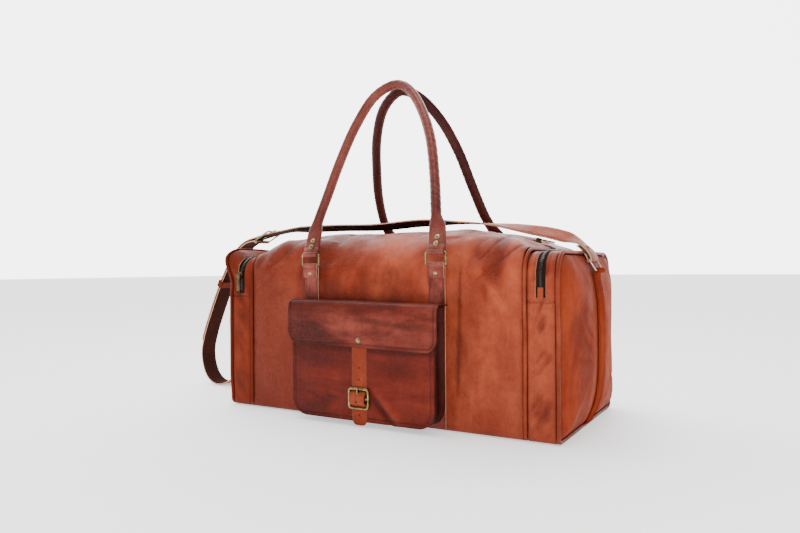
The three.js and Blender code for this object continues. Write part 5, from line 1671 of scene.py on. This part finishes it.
# ---------- floor, light and camera ----------


def area_light(name, place, aim, size, power, color=(1, 1, 1)):
    light = bpy.data.lights.new(name, "AREA")
    light.shape = "RECTANGLE"
    light.size, light.size_y = size
    light.energy = power
    light.color = color
    obj = bpy.data.objects.new(name, light)
    bpy.context.scene.collection.objects.link(obj)
    obj.location = place
    obj.rotation_euler = (Vector(aim) - Vector(place)).to_track_quat("-Z", "Y").to_euler()


# The surroundings are bright on one side: the level direction of that side, the range of the dot product
# with it over which they brighten, and their strength at both ends of that range.
BRIGHT_SIDE = (-0.62, 0.785, 0)
BRIGHT_RANGE = (("From Min", 0.1), ("From Max", 0.8), ("To Min", 0.5), ("To Max", 5.5))
FLOOR_SIZE = 40
FLOOR_DROP = 0.0006  # keeps the floor from sharing a plane with the bag's underside

# The camera that was fitted to the photo, in metres, degrees and millimetres of a 36 mm film
EYE = (0.5723, -1.0364, 0.2443)
YAW, PITCH, ROLL = 30.30, 0.19, -0.39
LENS = 29.76


def studio():
    bpy.ops.mesh.primitive_grid_add(
        x_subdivisions=4, y_subdivisions=4, size=FLOOR_SIZE, location=(0, 2, -FLOOR_DROP)
    )
    floor = bpy.context.object
    floor.name = "floor"
    floor.data.materials.append(studio_white("studio_floor"))
    world = bpy.data.worlds.new("studio")
    bpy.context.scene.world = world
    world.use_nodes = True
    tree = world.node_tree
    place = tree.nodes.new("ShaderNodeTexCoord")
    facing = tree.nodes.new("ShaderNodeVectorMath")
    facing.operation = "DOT_PRODUCT"
    facing.inputs[1].default_value = BRIGHT_SIDE
    shade = tree.nodes.new("ShaderNodeMapRange")
    shade.interpolation_type = "SMOOTHSTEP"
    for key, number in BRIGHT_RANGE:
        shade.inputs[key].default_value = number
    tree.links.new(place.outputs["Generated"], facing.inputs[0])
    tree.links.new(facing.outputs["Value"], shade.inputs["Value"])
    background = tree.nodes["Background"]
    background.inputs["Color"].default_value = (1.0, 1.0, 1.0, 1)
    tree.links.new(shade.outputs["Result"], background.inputs["Strength"])
    area_light("key", (1.5, -2.3, 1.7), (0.05, 0, 0.12), (0.9, 0.9), 24, (1, 0.985, 0.96))
    area_light("left_fill", (-2.2, -1.7, 0.9), (-0.2, 0, 0.12), (0.8, 1.4), 1.0)
    area_light("top", (-0.2, -0.3, 2.4), (0, 0, 0.2), (1.6, 0.9), 36)


def camera():
    yaw, pitch, roll = math.radians(YAW), math.radians(PITCH), math.radians(ROLL)
    forward = Vector((-math.sin(yaw) * math.cos(pitch), math.cos(yaw) * math.cos(pitch), math.sin(pitch)))
    right = Vector((math.cos(yaw), math.sin(yaw), 0))
    up = right.cross(forward)
    level_right = right * math.cos(roll) + up * math.sin(roll)
    level_up = -right * math.sin(roll) + up * math.cos(roll)
    data = bpy.data.cameras.new("camera")
    data.lens = LENS
    data.sensor_width = 36
    obj = bpy.data.objects.new("camera", data)
    obj.matrix_world = Matrix((level_right, level_up, -forward)).transposed().to_4x4()
    obj.location = EYE
    bpy.context.scene.collection.objects.link(obj)
    bpy.context.scene.camera = obj


studio()
camera()
